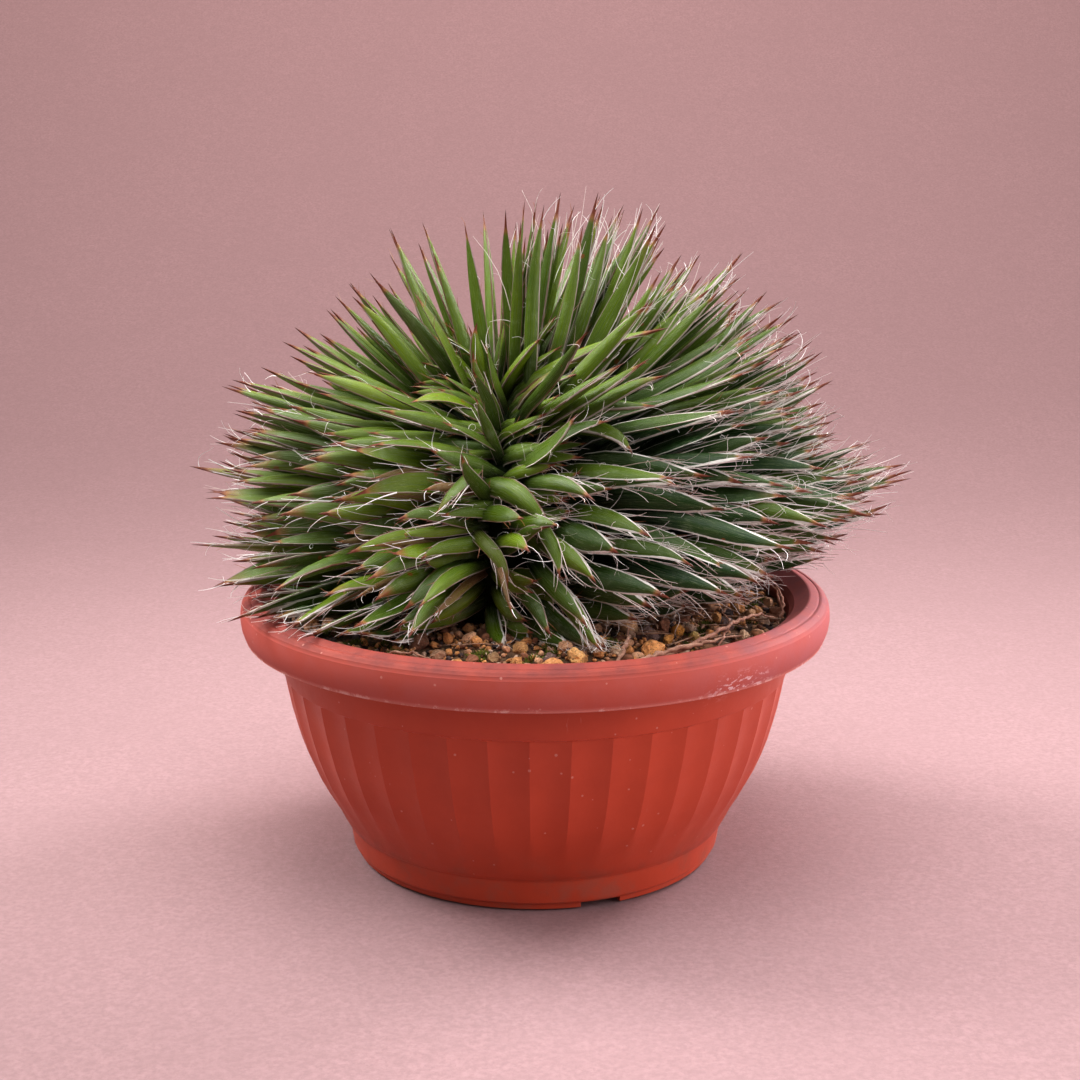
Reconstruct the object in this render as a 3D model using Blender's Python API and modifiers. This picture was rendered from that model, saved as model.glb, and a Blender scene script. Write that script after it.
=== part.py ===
# Potted crested agave: a plastic bowl pot, its gritty potting mix, and the plant.
# Metres, +Z up, the pot's axis at the origin, its foot on z = 0, the growth line at -Y.
import math
import random

import bmesh
import bpy
import numpy as np
from mathutils import Vector

# pot
LIP_R = 0.0999
LIP_TOP = 0.0915
LIP_INNER_R = 0.0925
LIP_SKIRT_Z = 0.0778
LIP_SKIRT_R = 0.0979
LIP_SKIRT_INNER_R = 0.0961
MOUTH_R = 0.0866
FOOT_R = 0.0622
FOOT_INNER_R = 0.0575
FOOT_RECESS = 0.0025
FLOOR_TOP = 0.0055
WALL = 0.0022
FLUTES = 42
FLUTE_DEPTH = 0.0012
FLUTE_TOP = 0.0646
FLUTE_FADE = 0.0120
FLUTE_PHASE = math.radians(-91.0)
NOTCHES = 3
NOTCH_W = 0.0135
NOTCH_H = 0.0018
NOTCH_PHASE = math.radians(-70.0)
DRAINS = 5
DRAIN_R = 0.0035
DRAIN_RING_R = 0.036

# potting mix
GAP = 0.0003
MIX_TOP = 0.0835
MIX_RELIEF = 0.0007
STONE_TOP = 0.0873
STONES = 36
STONE_SEED = 11

# plant
STEM_R = 0.0240
STEM_BOTTOM = 0.0500
CORE_CENTRE = np.array([0.002, 0.004, 0.110])
CORE_RADII = np.array([0.060, 0.053, 0.050])
CORE_UNDERSIDE = 0.0885
CREST_X = -0.25
LEAVES = 322
LEAF_SEED = 7
YOUNG_LEAVES = 38
YOUNG_SEED = 12
LEAF_HALF_W = 0.0037
LEAF_KEEL = 0.0028
LEAF_ROOT = 0.0060
GOLDEN = math.pi * (3.0 - math.sqrt(5.0))

# the large leaves at the front of the crest, in millimetres: the foot's x and z on the crest,
# the tip, how far the middle bows out, and the width as a share of a common leaf's
LEADING_LEAVES = {
    "arching_left": ((-12.9, 150.9), (-38.1, -40.0, 160.6), (0.0, -2.0, 4.5), 0.90),
    "upright_broad": ((-15.4, 155.4), (-16.7, -20.0, 183.4), (-1.5, -2.0, 0.0), 1.15),
    "upright_right": ((-11.5, 157.0), (1.9, -25.0, 178.2), (-1.5, -1.0, 1.0), 0.95),
    "big_right": ((-9.5, 156.5), (47.5, -30.0, 185.0), (-3.0, -4.0, 3.5), 1.12),
    "red_tip": ((-9.8, 139.2), (12.9, -62.0, 160.0), (1.5, -2.0, -1.5), 1.15),
    "folded": ((-16.2, 140.6), (-29.0, -62.0, 128.0), (1.0, -3.5, 3.0), 0.72),
    "hooked": ((-19.8, 121.1), (-10.2, -62.0, 103.7), (0.0, -5.5, 4.5), 1.15),
    "pale_tip": ((-21.1, 118.9), (-43.7, -66.0, 118.0), (0.0, -3.0, -2.0), 1.05),
    "low_left": ((-19.2, 112.4), (-41.0, -66.0, 99.4), (1.0, -2.5, 2.5), 0.95),
    "arch_right": ((-19.0, 133.0), (9.7, -63.0, 125.4), (0.0, -3.0, 5.0), 1.08),
    "short_right": ((-18.9, 125.1), (-2.7, -66.0, 129.5), (0.0, -2.0, 1.5), 0.88),
    "hanging": ((-0.6, 127.9), (7.0, -68.0, 109.7), (-0.5, -4.0, 2.0), 0.72),
    "broad_right": ((4.1, 121.9), (25.8, -66.0, 117.6), (0.0, -2.5, 2.0), 1.25),
    "dry_right": ((-5.8, 154.5), (11.2, -38.0, 172.6), (-1.0, -2.0, 1.5), 0.80),
    "second_right": ((1.6, 152.3), (42.4, -45.0, 161.3), (0.0, -3.0, 3.0), 1.02),
    "curve_right": ((8.0, 149.7), (31.4, -52.0, 145.0), (1.0, -3.5, 4.5), 1.08),
}


def clear_scene():
    for item in list(bpy.data.objects):
        bpy.data.objects.remove(item, do_unlink=True)
    for coll in list(bpy.data.collections):
        bpy.data.collections.remove(coll)


def new_collection(name):
    coll = bpy.data.collections.new(name)
    bpy.context.scene.collection.children.link(coll)
    return coll


def material(name, colour, roughness):
    mat = bpy.data.materials.new(name)
    mat.use_nodes = True
    shader = mat.node_tree.nodes["Principled BSDF"]
    shader.inputs["Base Color"].default_value = (*colour, 1.0)
    shader.inputs["Roughness"].default_value = roughness
    return mat


def add_object(name, mesh, coll):
    item = bpy.data.objects.new(name, mesh)
    coll.objects.link(item)
    return item


def revolve(name, profile, steps, coll, phase=0.0, closed=False):
    # the profile runs from top to bottom on the outer side, as (radius, height)
    mesh = bpy.data.meshes.new(name)
    points = [(r * math.cos(phase), r * math.sin(phase), z) for r, z in profile]
    edges = [(k, k + 1) for k in range(len(points) - 1)]
    if closed:
        edges.append((len(points) - 1, 0))
    mesh.from_pydata(points, edges, [])
    item = add_object(name, mesh, coll)
    screw = item.modifiers.new("turn", "SCREW")
    screw.axis = "Z"
    screw.steps = steps
    screw.render_steps = steps
    screw.use_merge_vertices = True
    screw.merge_threshold = 0.00001
    screw.use_normal_calculate = True
    return item


def applied(item):
    # the item's own modifiers become its mesh, and its place goes into the vertices
    graph = bpy.context.evaluated_depsgraph_get()
    graph.update()
    mesh = bpy.data.meshes.new_from_object(item.evaluated_get(graph))
    item.modifiers.clear()
    item.data = mesh
    mesh.transform(item.matrix_world)
    item.matrix_world.identity()
    return item


def tidy_mesh(item, merge=0.00002):
    bm = bmesh.new()
    bm.from_mesh(item.data)
    bmesh.ops.remove_doubles(bm, verts=bm.verts, dist=merge)
    bmesh.ops.dissolve_degenerate(bm, edges=bm.edges, dist=merge)
    bmesh.ops.recalc_face_normals(bm, faces=bm.faces)
    bm.to_mesh(item.data)
    bm.free()
    return item


def drop_scraps(item):
    # keeps the one large body, and drops any loose leaf that missed it
    bm = bmesh.new()
    bm.from_mesh(item.data)
    left = set(bm.verts)
    bodies = []
    while left:
        body = {left.pop()}
        edge_of = list(body)
        while edge_of:
            vert = edge_of.pop()
            for edge in vert.link_edges:
                other = edge.other_vert(vert)
                if other not in body:
                    body.add(other)
                    edge_of.append(other)
        left -= body
        bodies.append(body)
    bodies.sort(key=len)
    scraps = [vert for body in bodies[:-1] for vert in body]
    bmesh.ops.delete(bm, geom=scraps, context="VERTS")
    bm.to_mesh(item.data)
    bm.free()
    return len(bodies) - 1


def boolean(item, operation, tool, solver="EXACT"):
    # tool is one object, or a collection whose objects are used up together
    cut = item.modifiers.new(operation.lower(), "BOOLEAN")
    cut.operation = operation
    cut.solver = solver
    if isinstance(tool, bpy.types.Collection):
        cut.operand_type = "COLLECTION"
        cut.collection = tool
        used = list(tool.objects)
    else:
        cut.object = tool
        used = [tool]
    applied(item)
    for one in used:
        bpy.data.objects.remove(one, do_unlink=True)
    return item


def finish(item, mat, smooth_angle):
    item.data.materials.clear()
    item.data.materials.append(mat)
    for poly in item.data.polygons:
        poly.material_index = 0
        poly.use_smooth = smooth_angle is not None
    if smooth_angle is not None:
        item.data.set_sharp_from_angle(angle=smooth_angle)


def smooth(a, b, x):
    t = min(1.0, max(0.0, (x - a) / (b - a)))
    return t * t * (3.0 - 2.0 * t)


def mix(a, b, t):
    return a + (b - a) * t


def unit(v):
    return v / max(1e-9, float(np.linalg.norm(v)))


# The outer wall of the bowl, from just under the lip down to the foot.
def wall_profile():
    return [
        (0.0886, 0.0890),
        (0.0862, 0.0650),
        (0.0858, FLUTE_TOP),
        (0.0837, 0.0535),
        (0.0808, 0.0425),
        (0.0764, 0.0310),
        (0.0700, 0.0195),
        (0.0662, 0.0120),
        (0.0650, 0.0108),
        (0.0636, 0.0026),
        (FOOT_R, 0.0020),
        (FOOT_R, 0.0),
    ]


def wall_radius(z):
    points = sorted((h, r) for r, h in wall_profile())
    for (h0, r0), (h1, r1) in zip(points, points[1:]):
        if h0 <= z <= h1 and h1 > h0:
            return mix(r0, r1, (z - h0) / (h1 - h0))
    return points[-1][1]


def cavity_profile(inset):
    rows = [(LIP_INNER_R + 0.0016, LIP_TOP + 0.0010), (MOUTH_R - inset, 0.0872)]
    for z in (0.0780, 0.0640, 0.0470, 0.0300, 0.0120):
        rows.append((wall_radius(z) - WALL - inset, z))
    rows.append((0.0590 - inset, FLOOR_TOP + inset))
    return rows


def flute(item):
    # each flute is a shallow hollow between two sharp edges, and fades out above the foot
    pitch = 2.0 * math.pi / FLUTES
    for vert in item.data.vertices:
        x, y, z = vert.co
        r = math.hypot(x, y)
        if r < 0.05 or z > FLUTE_TOP + 0.0001 or z < FLUTE_FADE:
            continue
        part = ((math.atan2(y, x) - FLUTE_PHASE) / pitch) % 1.0
        hollow = 1.0 - (2.0 * part - 1.0) ** 2
        depth = FLUTE_DEPTH * hollow * smooth(FLUTE_FADE, 0.034, z)
        vert.co.x = x * (r - depth) / r
        vert.co.y = y * (r - depth) / r


def make_pot(coll, cutters, mat):
    profile = [(0.0, 0.0890)] + wall_profile() + [(0.0, 0.0)]
    pot = applied(revolve("pot", profile, FLUTES * 2, coll, FLUTE_PHASE))
    flute(pot)
    tidy_mesh(pot)
    lip = [
        (0.0860, LIP_TOP),
        (LIP_INNER_R, LIP_TOP),
        (0.0962, 0.0903),
        (0.0987, 0.0889),
        (LIP_R, 0.0858),
        (LIP_R - 0.0002, 0.0812),
        (LIP_SKIRT_R, LIP_SKIRT_Z),
        (LIP_SKIRT_INNER_R, LIP_SKIRT_Z),
        (LIP_SKIRT_INNER_R - 0.0004, 0.0876),
        (0.0860, 0.0880),
    ]
    ring = applied(revolve("lip", lip, 60, cutters, FLUTE_PHASE, closed=True))
    tidy_mesh(ring)
    boolean(pot, "UNION", ring)
    cavity = [(0.0, LIP_TOP + 0.0010)] + cavity_profile(0.0) + [(0.0, FLOOR_TOP)]
    boolean(pot, "DIFFERENCE", tidy_mesh(applied(revolve("cavity", cavity, 42, cutters, FLUTE_PHASE))))
    recess = [(0.0, FOOT_RECESS), (FOOT_INNER_R, FOOT_RECESS), (FOOT_INNER_R, -0.002), (0.0, -0.002)]
    boolean(pot, "DIFFERENCE", tidy_mesh(applied(revolve("recess", recess, 42, cutters, FLUTE_PHASE))))
    cut_foot(pot, cutters)
    tidy_mesh(pot)
    finish(pot, mat, math.radians(22))
    return pot


def cut_foot(pot, cutters):
    holes = new_collection("foot_cutters")
    for k in range(NOTCHES):
        angle = NOTCH_PHASE + 2.0 * math.pi * k / NOTCHES
        bpy.ops.mesh.primitive_cube_add(size=1.0)
        cube = bpy.context.object
        cube.scale = (0.016, NOTCH_W, NOTCH_H * 2.0)
        cube.location = (0.061 * math.cos(angle), 0.061 * math.sin(angle), 0.0)
        cube.rotation_euler = (0.0, 0.0, angle)
        move_to(cube, holes)
    for k in range(DRAINS):
        angle = 2.0 * math.pi * k / DRAINS
        place = (DRAIN_RING_R * math.cos(angle), DRAIN_RING_R * math.sin(angle), 0.004)
        bpy.ops.mesh.primitive_cylinder_add(vertices=10, radius=DRAIN_R, depth=0.012, location=place)
        move_to(bpy.context.object, holes)
    for item in holes.objects:
        bake_place(item)
    boolean(pot, "DIFFERENCE", holes)
    bpy.data.collections.remove(holes)


def move_to(item, coll):
    for old in list(item.users_collection):
        old.objects.unlink(item)
    coll.objects.link(item)


def bake_place(item):
    bpy.context.view_layer.update()
    item.data.transform(item.matrix_world)
    item.matrix_world.identity()


# Where the surface of the mix lies, and the stones and dried roots that stand out of it.
def mix_height(x, y):
    wave = math.sin(x * 410.0 + 1.3) * math.cos(y * 360.0) + 0.6 * math.sin(x * 190.0 - y * 270.0)
    return MIX_TOP + MIX_RELIEF * wave / 1.6


def make_mix(coll, cutters, mat):
    hole_r = STEM_R + GAP
    hole_z = STEM_BOTTOM - GAP
    edge = wall_radius(MIX_TOP) - WALL - GAP - 0.0002
    profile = [(0.0, hole_z), (hole_r, hole_z), (hole_r, MIX_TOP)]
    profile += [(r, MIX_TOP) for r in (0.044, 0.058, 0.070, 0.079)]
    profile += [(edge, MIX_TOP)]
    profile += [row for row in cavity_profile(GAP) if row[1] < MIX_TOP]
    profile += [(0.0, FLOOR_TOP + GAP)]
    ground = applied(revolve("potting_mix", profile, 42, coll, FLUTE_PHASE))
    for vert in ground.data.vertices:
        r = math.hypot(vert.co.x, vert.co.y)
        if abs(vert.co.z - MIX_TOP) < 0.0001 and hole_r + 0.002 < r < edge - 0.001:
            vert.co.z = mix_height(vert.co.x, vert.co.y)
    tidy_mesh(ground)
    grit = new_collection("grit_and_roots")
    add_stones(grit)
    add_dried_roots(grit)
    boolean(ground, "UNION", grit, "MANIFOLD")
    bpy.data.collections.remove(grit)
    drop_scraps(ground)
    finish(ground, mat, None)
    return ground


def stone_place(k, rng, taken):
    # most lie in the open crescent at the front and right, the rest all round the rim
    for attempt in range(60):
        if k % 2 == 0:
            angle = math.radians(rng.uniform(-95.0, -15.0))
        else:
            angle = rng.uniform(0.0, 2.0 * math.pi)
        r = rng.uniform(0.059, 0.0795)
        size = rng.uniform(0.0022, 0.0046)
        x = r * math.cos(angle)
        y = r * math.sin(angle)
        if all(math.hypot(x - u, y - v) > size + w + 0.0004 for u, v, w in taken):
            taken.append((x, y, size))
            return x, y, size
    return None


def add_stones(grit):
    rng = random.Random(STONE_SEED)
    taken = []
    for k in range(STONES):
        place = stone_place(k, rng, taken)
        if place is None:
            continue
        x, y, size = place
        bpy.ops.mesh.primitive_ico_sphere_add(subdivisions=1, radius=1.0)
        stone = bpy.context.object
        stone.scale = (size, size * rng.uniform(0.72, 0.95), size * rng.uniform(0.60, 0.85))
        stone.rotation_euler = [rng.uniform(-0.5, 0.5), rng.uniform(-0.5, 0.5), rng.uniform(0.0, 6.28)]
        for vert in stone.data.vertices:
            vert.co *= rng.uniform(0.88, 1.08)
        stone.location = (x, y, mix_height(x, y) + size * 0.25 - 0.0005)
        move_to(stone, grit)
        bake_place(stone)
        over = max(vert.co.z for vert in stone.data.vertices) - STONE_TOP
        if over > 0.0:
            for vert in stone.data.vertices:
                vert.co.z -= over


def add_dried_roots(grit):
    routes = [
        [(0.019, -0.0780), (0.035, -0.0725), (0.049, -0.0635), (0.059, -0.0540), (0.068, -0.0420)],
        [(0.040, -0.0640), (0.055, -0.0560), (0.066, -0.0430), (0.078, -0.0240)],
        [(-0.078, 0.0180), (-0.066, 0.0360), (-0.050, 0.0560)],
    ]
    for k, route in enumerate(routes):
        curve = bpy.data.curves.new("dried_root", "CURVE")
        curve.dimensions = "3D"
        curve.bevel_depth = 0.0015 - 0.0002 * k
        curve.bevel_resolution = 0
        curve.resolution_u = 1
        curve.use_fill_caps = True
        spline = curve.splines.new("POLY")
        spline.points.add(len(route) - 1)
        for point, (x, y) in zip(spline.points, route):
            point.co = (x, y, MIX_TOP + 0.0012, 1.0)
        for end in (spline.points[0], spline.points[-1]):
            end.co.z = MIX_TOP - 0.0016
        root = add_object("dried_root", curve, grit)
        graph = bpy.context.evaluated_depsgraph_get()
        graph.update()
        mesh = bpy.data.meshes.new_from_object(root.evaluated_get(graph))
        bpy.data.objects.remove(root, do_unlink=True)
        tidy_mesh(add_object("dried_root", mesh, grit))


# The growth line runs up the front, left of the middle, then over the top. Leaves lean
# away from it to both sides, stand up in a fan over its upper end, and hang below it.
def crest_x(q):
    turn = math.atan2(-q[1], q[2])
    return CREST_X + 0.05 * math.sin(2.2 * turn)


def swell(x, middle, spread):
    return math.exp(-((x - middle) / spread) ** 2)


def outward(q):
    n = unit(q / CORE_RADII)
    return unit(np.array([n[0], n[1], max(n[2], -0.12)]))


def scatter(rng):
    return np.array([rng.gauss(0, 1), rng.gauss(0, 1), rng.gauss(0, 1)])


def facing(n, sweep, d, lift):
    # the flat upper face looks to the growth line, and a little upwards
    face = n * float(np.dot(sweep, d)) - sweep * float(np.dot(n, d))
    up = np.array([0.0, 0.0, 1.0]) - d * d[2]
    face = unit(face + lift * up)
    return unit(face - d * float(np.dot(face, d)))


def leaf_sweep(q, n, off, side, a):
    # the way that the leaves lie at one place of the crest, and how far they lean over to it
    low = smooth(0.0, -0.35, q[2])
    top = smooth(0.30, 0.95, q[2])
    front = smooth(0.05, 0.60, -q[1])
    away = smooth(0.0, 0.45, a)
    fan = smooth(0.82, 0.92, q[2]) * smooth(-0.15, 0.20, -q[1]) * smooth(0.85, 0.10, a)
    level = smooth(0.0, 0.35, -q[1]) * (1.0 - fan)
    outer = unit(np.array([n[0], n[1], n[2] * (1.0 - 0.62 * level)]))
    lean = mix(mix(0.42, 0.16, top), mix(0.80, 0.42, top), away)
    lean = mix(lean, max(lean, mix(0.45, 0.70, away)), level)
    mid = smooth(0.80, 0.20, q[2])
    if side > 0.0:
        rise = mix(0.25, mix(-0.12, -0.34, front), mid * smooth(1.0, 0.2, a)) + 0.28 * low
        depth = 0.0
    else:
        rise = mix(0.22, 0.06, mid) - 0.50 * low
        flank = smooth(0.20, 0.45, q[2]) * smooth(0.86, 0.70, q[2]) * away
        lean = mix(lean, min(lean + 0.12, 0.86), flank)
        depth = -1.30 * smooth(0.15, -0.20, q[2]) * smooth(0.0, 0.50, -q[1])
    sweep = unit(np.array([side, depth, rise]))
    sweep = unit(mix(sweep, unit(np.array([off * 0.9, 0.45, 0.85])), fan))
    lean = mix(lean, 0.62, fan)
    hang = low * front * smooth(0.42 if side > 0.0 else 0.45, 0.05, a)
    sweep = unit(mix(sweep, np.array([0.30 * side, 0.0, -1.0]), hang))
    lean = mix(lean, 0.74, hang)
    return sweep, outer, lean, low, top, front, fan


def open_front(q):
    # at the front right the lowest leaves stay short, so that the mix shows under them
    return smooth(0.0, 0.20, q[0]) * smooth(0.05, 0.35, -q[1]) * smooth(0.02, -0.16, q[2])


def common_leaf(i, count, seed, rng):
    # one of the many leaves, spread evenly over the crest
    height = 1.0 - (i + 0.5) / count * 1.34
    around = GOLDEN * i + seed * 0.37
    height = max(-0.36, min(0.995, height + rng.uniform(-0.02, 0.02)))
    around += rng.uniform(-0.05, 0.05)
    round_r = math.sqrt(1.0 - height * height)
    q = np.array([round_r * math.cos(around), round_r * math.sin(around), height])
    off = q[0] - crest_x(q)
    side = 1.0 if off >= 0.0 else -1.0
    a = abs(off)
    n = outward(q)
    sweep, outer, lean, low, top, front, fan = leaf_sweep(q, n, off, side, a)
    # neighbouring leaves stand together in loose tufts
    tuft = np.array([
        math.sin(9.0 * q[1] + 5.0 * q[2] + 1.0),
        math.sin(8.0 * q[2] - 6.0 * q[0] + 2.0),
        math.sin(11.0 * q[0] + 7.0 * q[1] + 0.5)])
    start = unit(mix(outer, sweep, lean - 0.10 * (1.0 - top)) + tuft * 0.07 + scatter(rng) * 0.07)
    length = mix(0.036, mix(0.060, 0.051, front), smooth(0.0, 0.7, a))
    length = mix(mix(length, 0.064, top), 0.062, fan)
    under = length * mix(0.76, 1.14, smooth(0.0, -0.4, q[0]) * front)
    length = mix(length, under, low) * rng.uniform(0.84, 1.12)
    # the tips bend on along the sweep at the front, and lift a little elsewhere
    bend = rng.uniform(0.3, 1.6)
    curl = mix(0.16, 0.05, top) * (-0.6 if low > 0.5 else 1.0)
    drop = front * (1.0 - top) * (1.0 - low)
    end = start + np.array([0.0, 0.0, bend * curl * (1.0 - abs(start[2])) * (1.0 - drop)])
    start = unit(start + np.array([0.0, 0.0, 0.16]) * drop)
    end = unit(end + (sweep * 0.35 + np.array([0.0, 0.0, -0.55])) * drop * bend)
    # the outline of the crest: flatter over both shoulders, fuller at the sides
    tip = CORE_RADII * q + (start + end) * 0.5 * length
    turn = math.degrees(math.atan2(tip[2], tip[0]))
    shoulders = 0.17 * swell(turn, 137.0, 22.0) + 0.15 * swell(turn, 27.0, 14.0)
    length *= 1.0 - shoulders + 0.08 * swell(turn, 8.0, 9.0)
    length *= 1.0 - 0.09 * swell(turn, 108.0, 18.0) + 0.03 * swell(turn, 76.0, 9.0)
    length *= 1.0 - 0.34 * open_front(q)
    roll = rng.gauss(0.0, 0.24)
    face = facing(n, sweep, start, 0.35)
    across = np.cross(start, face)
    face = unit(face * math.cos(roll) + across * math.sin(roll))
    width = rng.uniform(0.84, 1.12) * mix(0.84, 1.0, smooth(0.03, 0.35, a))
    return {
        "base": CORE_CENTRE + CORE_RADII * q, "n": n, "d": start, "end": end, "face": face,
        "length": length, "width": width,
    }


def leading_leaf(foot, tip, bow, width):
    # through its foot and its tip, with the middle bowed out
    qx = (foot[0] / 1000.0 - CORE_CENTRE[0]) / CORE_RADII[0]
    qz = (foot[1] / 1000.0 - CORE_CENTRE[2]) / CORE_RADII[2]
    q = np.array([qx, -math.sqrt(max(0.0, 1.0 - qx * qx - qz * qz)), qz])
    base = CORE_CENTRE + CORE_RADII * q
    reach = np.array(tip) / 1000.0 - base
    length = float(np.linalg.norm(reach))
    along = reach / length
    bend = 4.0 * np.array(bow) / 1000.0 / length
    n = outward(q)
    return {
        "base": base, "n": n, "d": along + bend, "end": along - bend,
        "face": facing(n, along, along, 0.5), "length": length, "width": width,
    }


def young_leaf(i, count, rng):
    # the newest leaves stand close along the growth line and point nearly straight out
    turn = -0.95 + 2.90 * (i + rng.uniform(0.3, 0.7)) / count
    side = 1.0 if i % 2 else -1.0
    line = CREST_X + 0.05 * math.sin(2.2 * turn)
    x = line + side * rng.uniform(0.0, 0.075)
    round_r = math.sqrt(1.0 - x * x)
    q = np.array([x, -round_r * math.sin(turn), round_r * math.cos(turn)])
    n = outward(q)
    sweep = unit(np.array([side, 0.0, rng.uniform(-0.5, 0.5)]))
    stray = scatter(rng) * 0.10
    front = smooth(-0.1, 0.5, turn)
    start = unit(mix(n, sweep, rng.uniform(0.08, 0.42) + 0.26 * front) + stray)
    end = unit(start + sweep * (rng.uniform(0.2, 0.6) + 0.4 * front) + np.array([0.0, 0.0, -0.15]))
    return {
        "base": CORE_CENTRE + CORE_RADII * q * 0.985, "n": n, "d": start, "end": end,
        "face": facing(n, sweep, start, 0.2),
        "length": rng.uniform(0.020, 0.034), "width": rng.uniform(0.60, 0.90),
    }


def leaf_point(leaf, t):
    run = leaf["d"] * t + (leaf["end"] - leaf["d"]) * 0.5 * t * t
    return leaf["base"] + leaf["length"] * run


# The height that a leaf keeps above, over the stones inside and over the lip outside.
def clear_height(r):
    ground = MIX_TOP + MIX_RELIEF + 0.0006
    stones = STONE_TOP + 0.0005
    return mix(ground, stones, smooth(0.046, 0.054, r)) + 0.0046 * smooth(0.070, 0.0865, r)


def leaf_rows(leaf):
    # rows of left edge, keel, right edge; the last row is the tip alone
    rows = []
    stations = ((0.0, 0.72, 0.90), (0.38, 1.0, 0.95), (0.74, 0.76, 0.72))
    for k, (t, wide, deep) in enumerate(stations):
        centre = leaf_point(leaf, t)
        if k == 0:
            centre = centre - leaf["n"] * LEAF_ROOT
        along = unit(leaf["d"] * (1.0 - t) + leaf["end"] * t)
        face = unit(leaf["face"] - along * float(np.dot(leaf["face"], along)))
        across = np.cross(along, face)
        half = LEAF_HALF_W * leaf["width"] * wide
        keel = LEAF_KEEL * leaf["width"] * deep
        rows.append([centre - across * half, centre - face * keel, centre + across * half])
    rows.append([leaf_point(leaf, 1.0)])
    for attempt in range(4):
        for k in range(1, 4):
            rows[k] = lifted(rows[k - 1], rows[k])
    return rows


def lifted(before, row):
    need = 0.0
    for s in (0.25, 0.5, 0.75, 1.0):
        for point in row:
            for start in before:
                spot = mix(start, point, s)
                short = clear_height(math.hypot(spot[0], spot[1])) - spot[2]
                if short > 0.0 and math.hypot(spot[0], spot[1]) > 0.034:
                    need = max(need, short / s)
    if need <= 0.0:
        return row
    return [point + np.array([0.0, 0.0, need]) for point in row]


def leaf_mesh(rows):
    mesh = bpy.data.meshes.new("leaf")
    verts = [tuple(point) for row in rows for point in row]
    faces = [(0, 1, 2)]
    for k in range(2):
        a = 3 * k
        b = a + 3
        faces += [(a, b, a + 1), (a + 1, b, b + 1)]
        faces += [(a + 1, b + 1, a + 2), (a + 2, b + 1, b + 2)]
        faces += [(a + 2, b + 2, a), (a, b + 2, b)]
    faces += [(6, 9, 7), (7, 9, 8), (8, 9, 6)]
    mesh.from_pydata(verts, [], faces)
    return mesh


def spine_gap(one, two):
    # how near two leaves come past their roots, in widths
    near = np.linalg.norm(one[:, None, :] - two[None, :, :], axis=2)
    return float(near.min())


def leaf_set():
    marks = (0.30, 0.40, 0.50, 0.60, 0.70, 0.80, 0.90, 1.0)
    rng = random.Random(LEAF_SEED)
    young = random.Random(YOUNG_SEED)
    offered = [(leading_leaf(*row), 0.0) for row in LEADING_LEAVES.values()]
    offered += [(common_leaf(i, LEAVES, LEAF_SEED, rng), 0.0034) for i in range(LEAVES)]
    offered += [(young_leaf(i, YOUNG_LEAVES, young), 0.0026) for i in range(YOUNG_LEAVES)]
    kept = []
    lines = []
    for leaf, gap in offered:
        line = np.array([leaf_point(leaf, t) for t in marks])
        if any(spine_gap(line, other) < gap for other in lines):
            continue
        kept.append(leaf)
        lines.append(line)
    return kept


def make_agave(coll, cutters, mat):
    bpy.ops.mesh.primitive_uv_sphere_add(segments=18, ring_count=10, radius=1.0)
    plant = bpy.context.object
    plant.name = "crested_agave"
    plant.scale = CORE_RADII
    plant.location = CORE_CENTRE
    move_to(plant, coll)
    bake_place(plant)
    bm = bmesh.new()
    bm.from_mesh(plant.data)
    cut = bmesh.ops.bisect_plane(
        bm, geom=bm.verts[:] + bm.edges[:] + bm.faces[:],
        plane_co=Vector((0.0, 0.0, CORE_UNDERSIDE)), plane_no=Vector((0.0, 0.0, -1.0)),
        clear_outer=True)
    rim = [edge for edge in cut["geom_cut"] if isinstance(edge, bmesh.types.BMEdge)]
    bmesh.ops.contextual_create(bm, geom=rim)
    bmesh.ops.recalc_face_normals(bm, faces=bm.faces)
    bm.to_mesh(plant.data)
    bm.free()
    grown = new_collection("leaves_and_stem")
    tall = 0.045
    bpy.ops.mesh.primitive_cylinder_add(
        vertices=18, radius=STEM_R, depth=tall, location=(0.0, 0.0, STEM_BOTTOM + tall / 2.0))
    stem = bpy.context.object
    move_to(stem, grown)
    bake_place(stem)
    for leaf in leaf_set():
        add_object("leaf", leaf_mesh(leaf_rows(leaf)), grown)
    boolean(plant, "UNION", grown, "MANIFOLD")
    bpy.data.collections.remove(grown)
    drop_scraps(plant)
    finish(plant, mat, None)
    return plant


def main():
    clear_scene()
    coll = new_collection("potted_crested_agave")
    cutters = new_collection("cutters")
    pot_red = material("pot_plastic", (0.36, 0.045, 0.025), 0.42)
    grit_brown = material("grit", (0.30, 0.19, 0.11), 0.95)
    leaf_green = material("leaf", (0.075, 0.16, 0.045), 0.45)
    make_pot(coll, cutters, pot_red)
    make_mix(coll, cutters, grit_brown)
    make_agave(coll, cutters, leaf_green)
    bpy.data.collections.remove(cutters)


main()
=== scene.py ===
import random
from math import atan2, cos, degrees, exp, hypot, pi, radians, sin, sqrt

import bmesh
import bpy
import numpy as np
from mathutils import Matrix, Vector, noise


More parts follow.
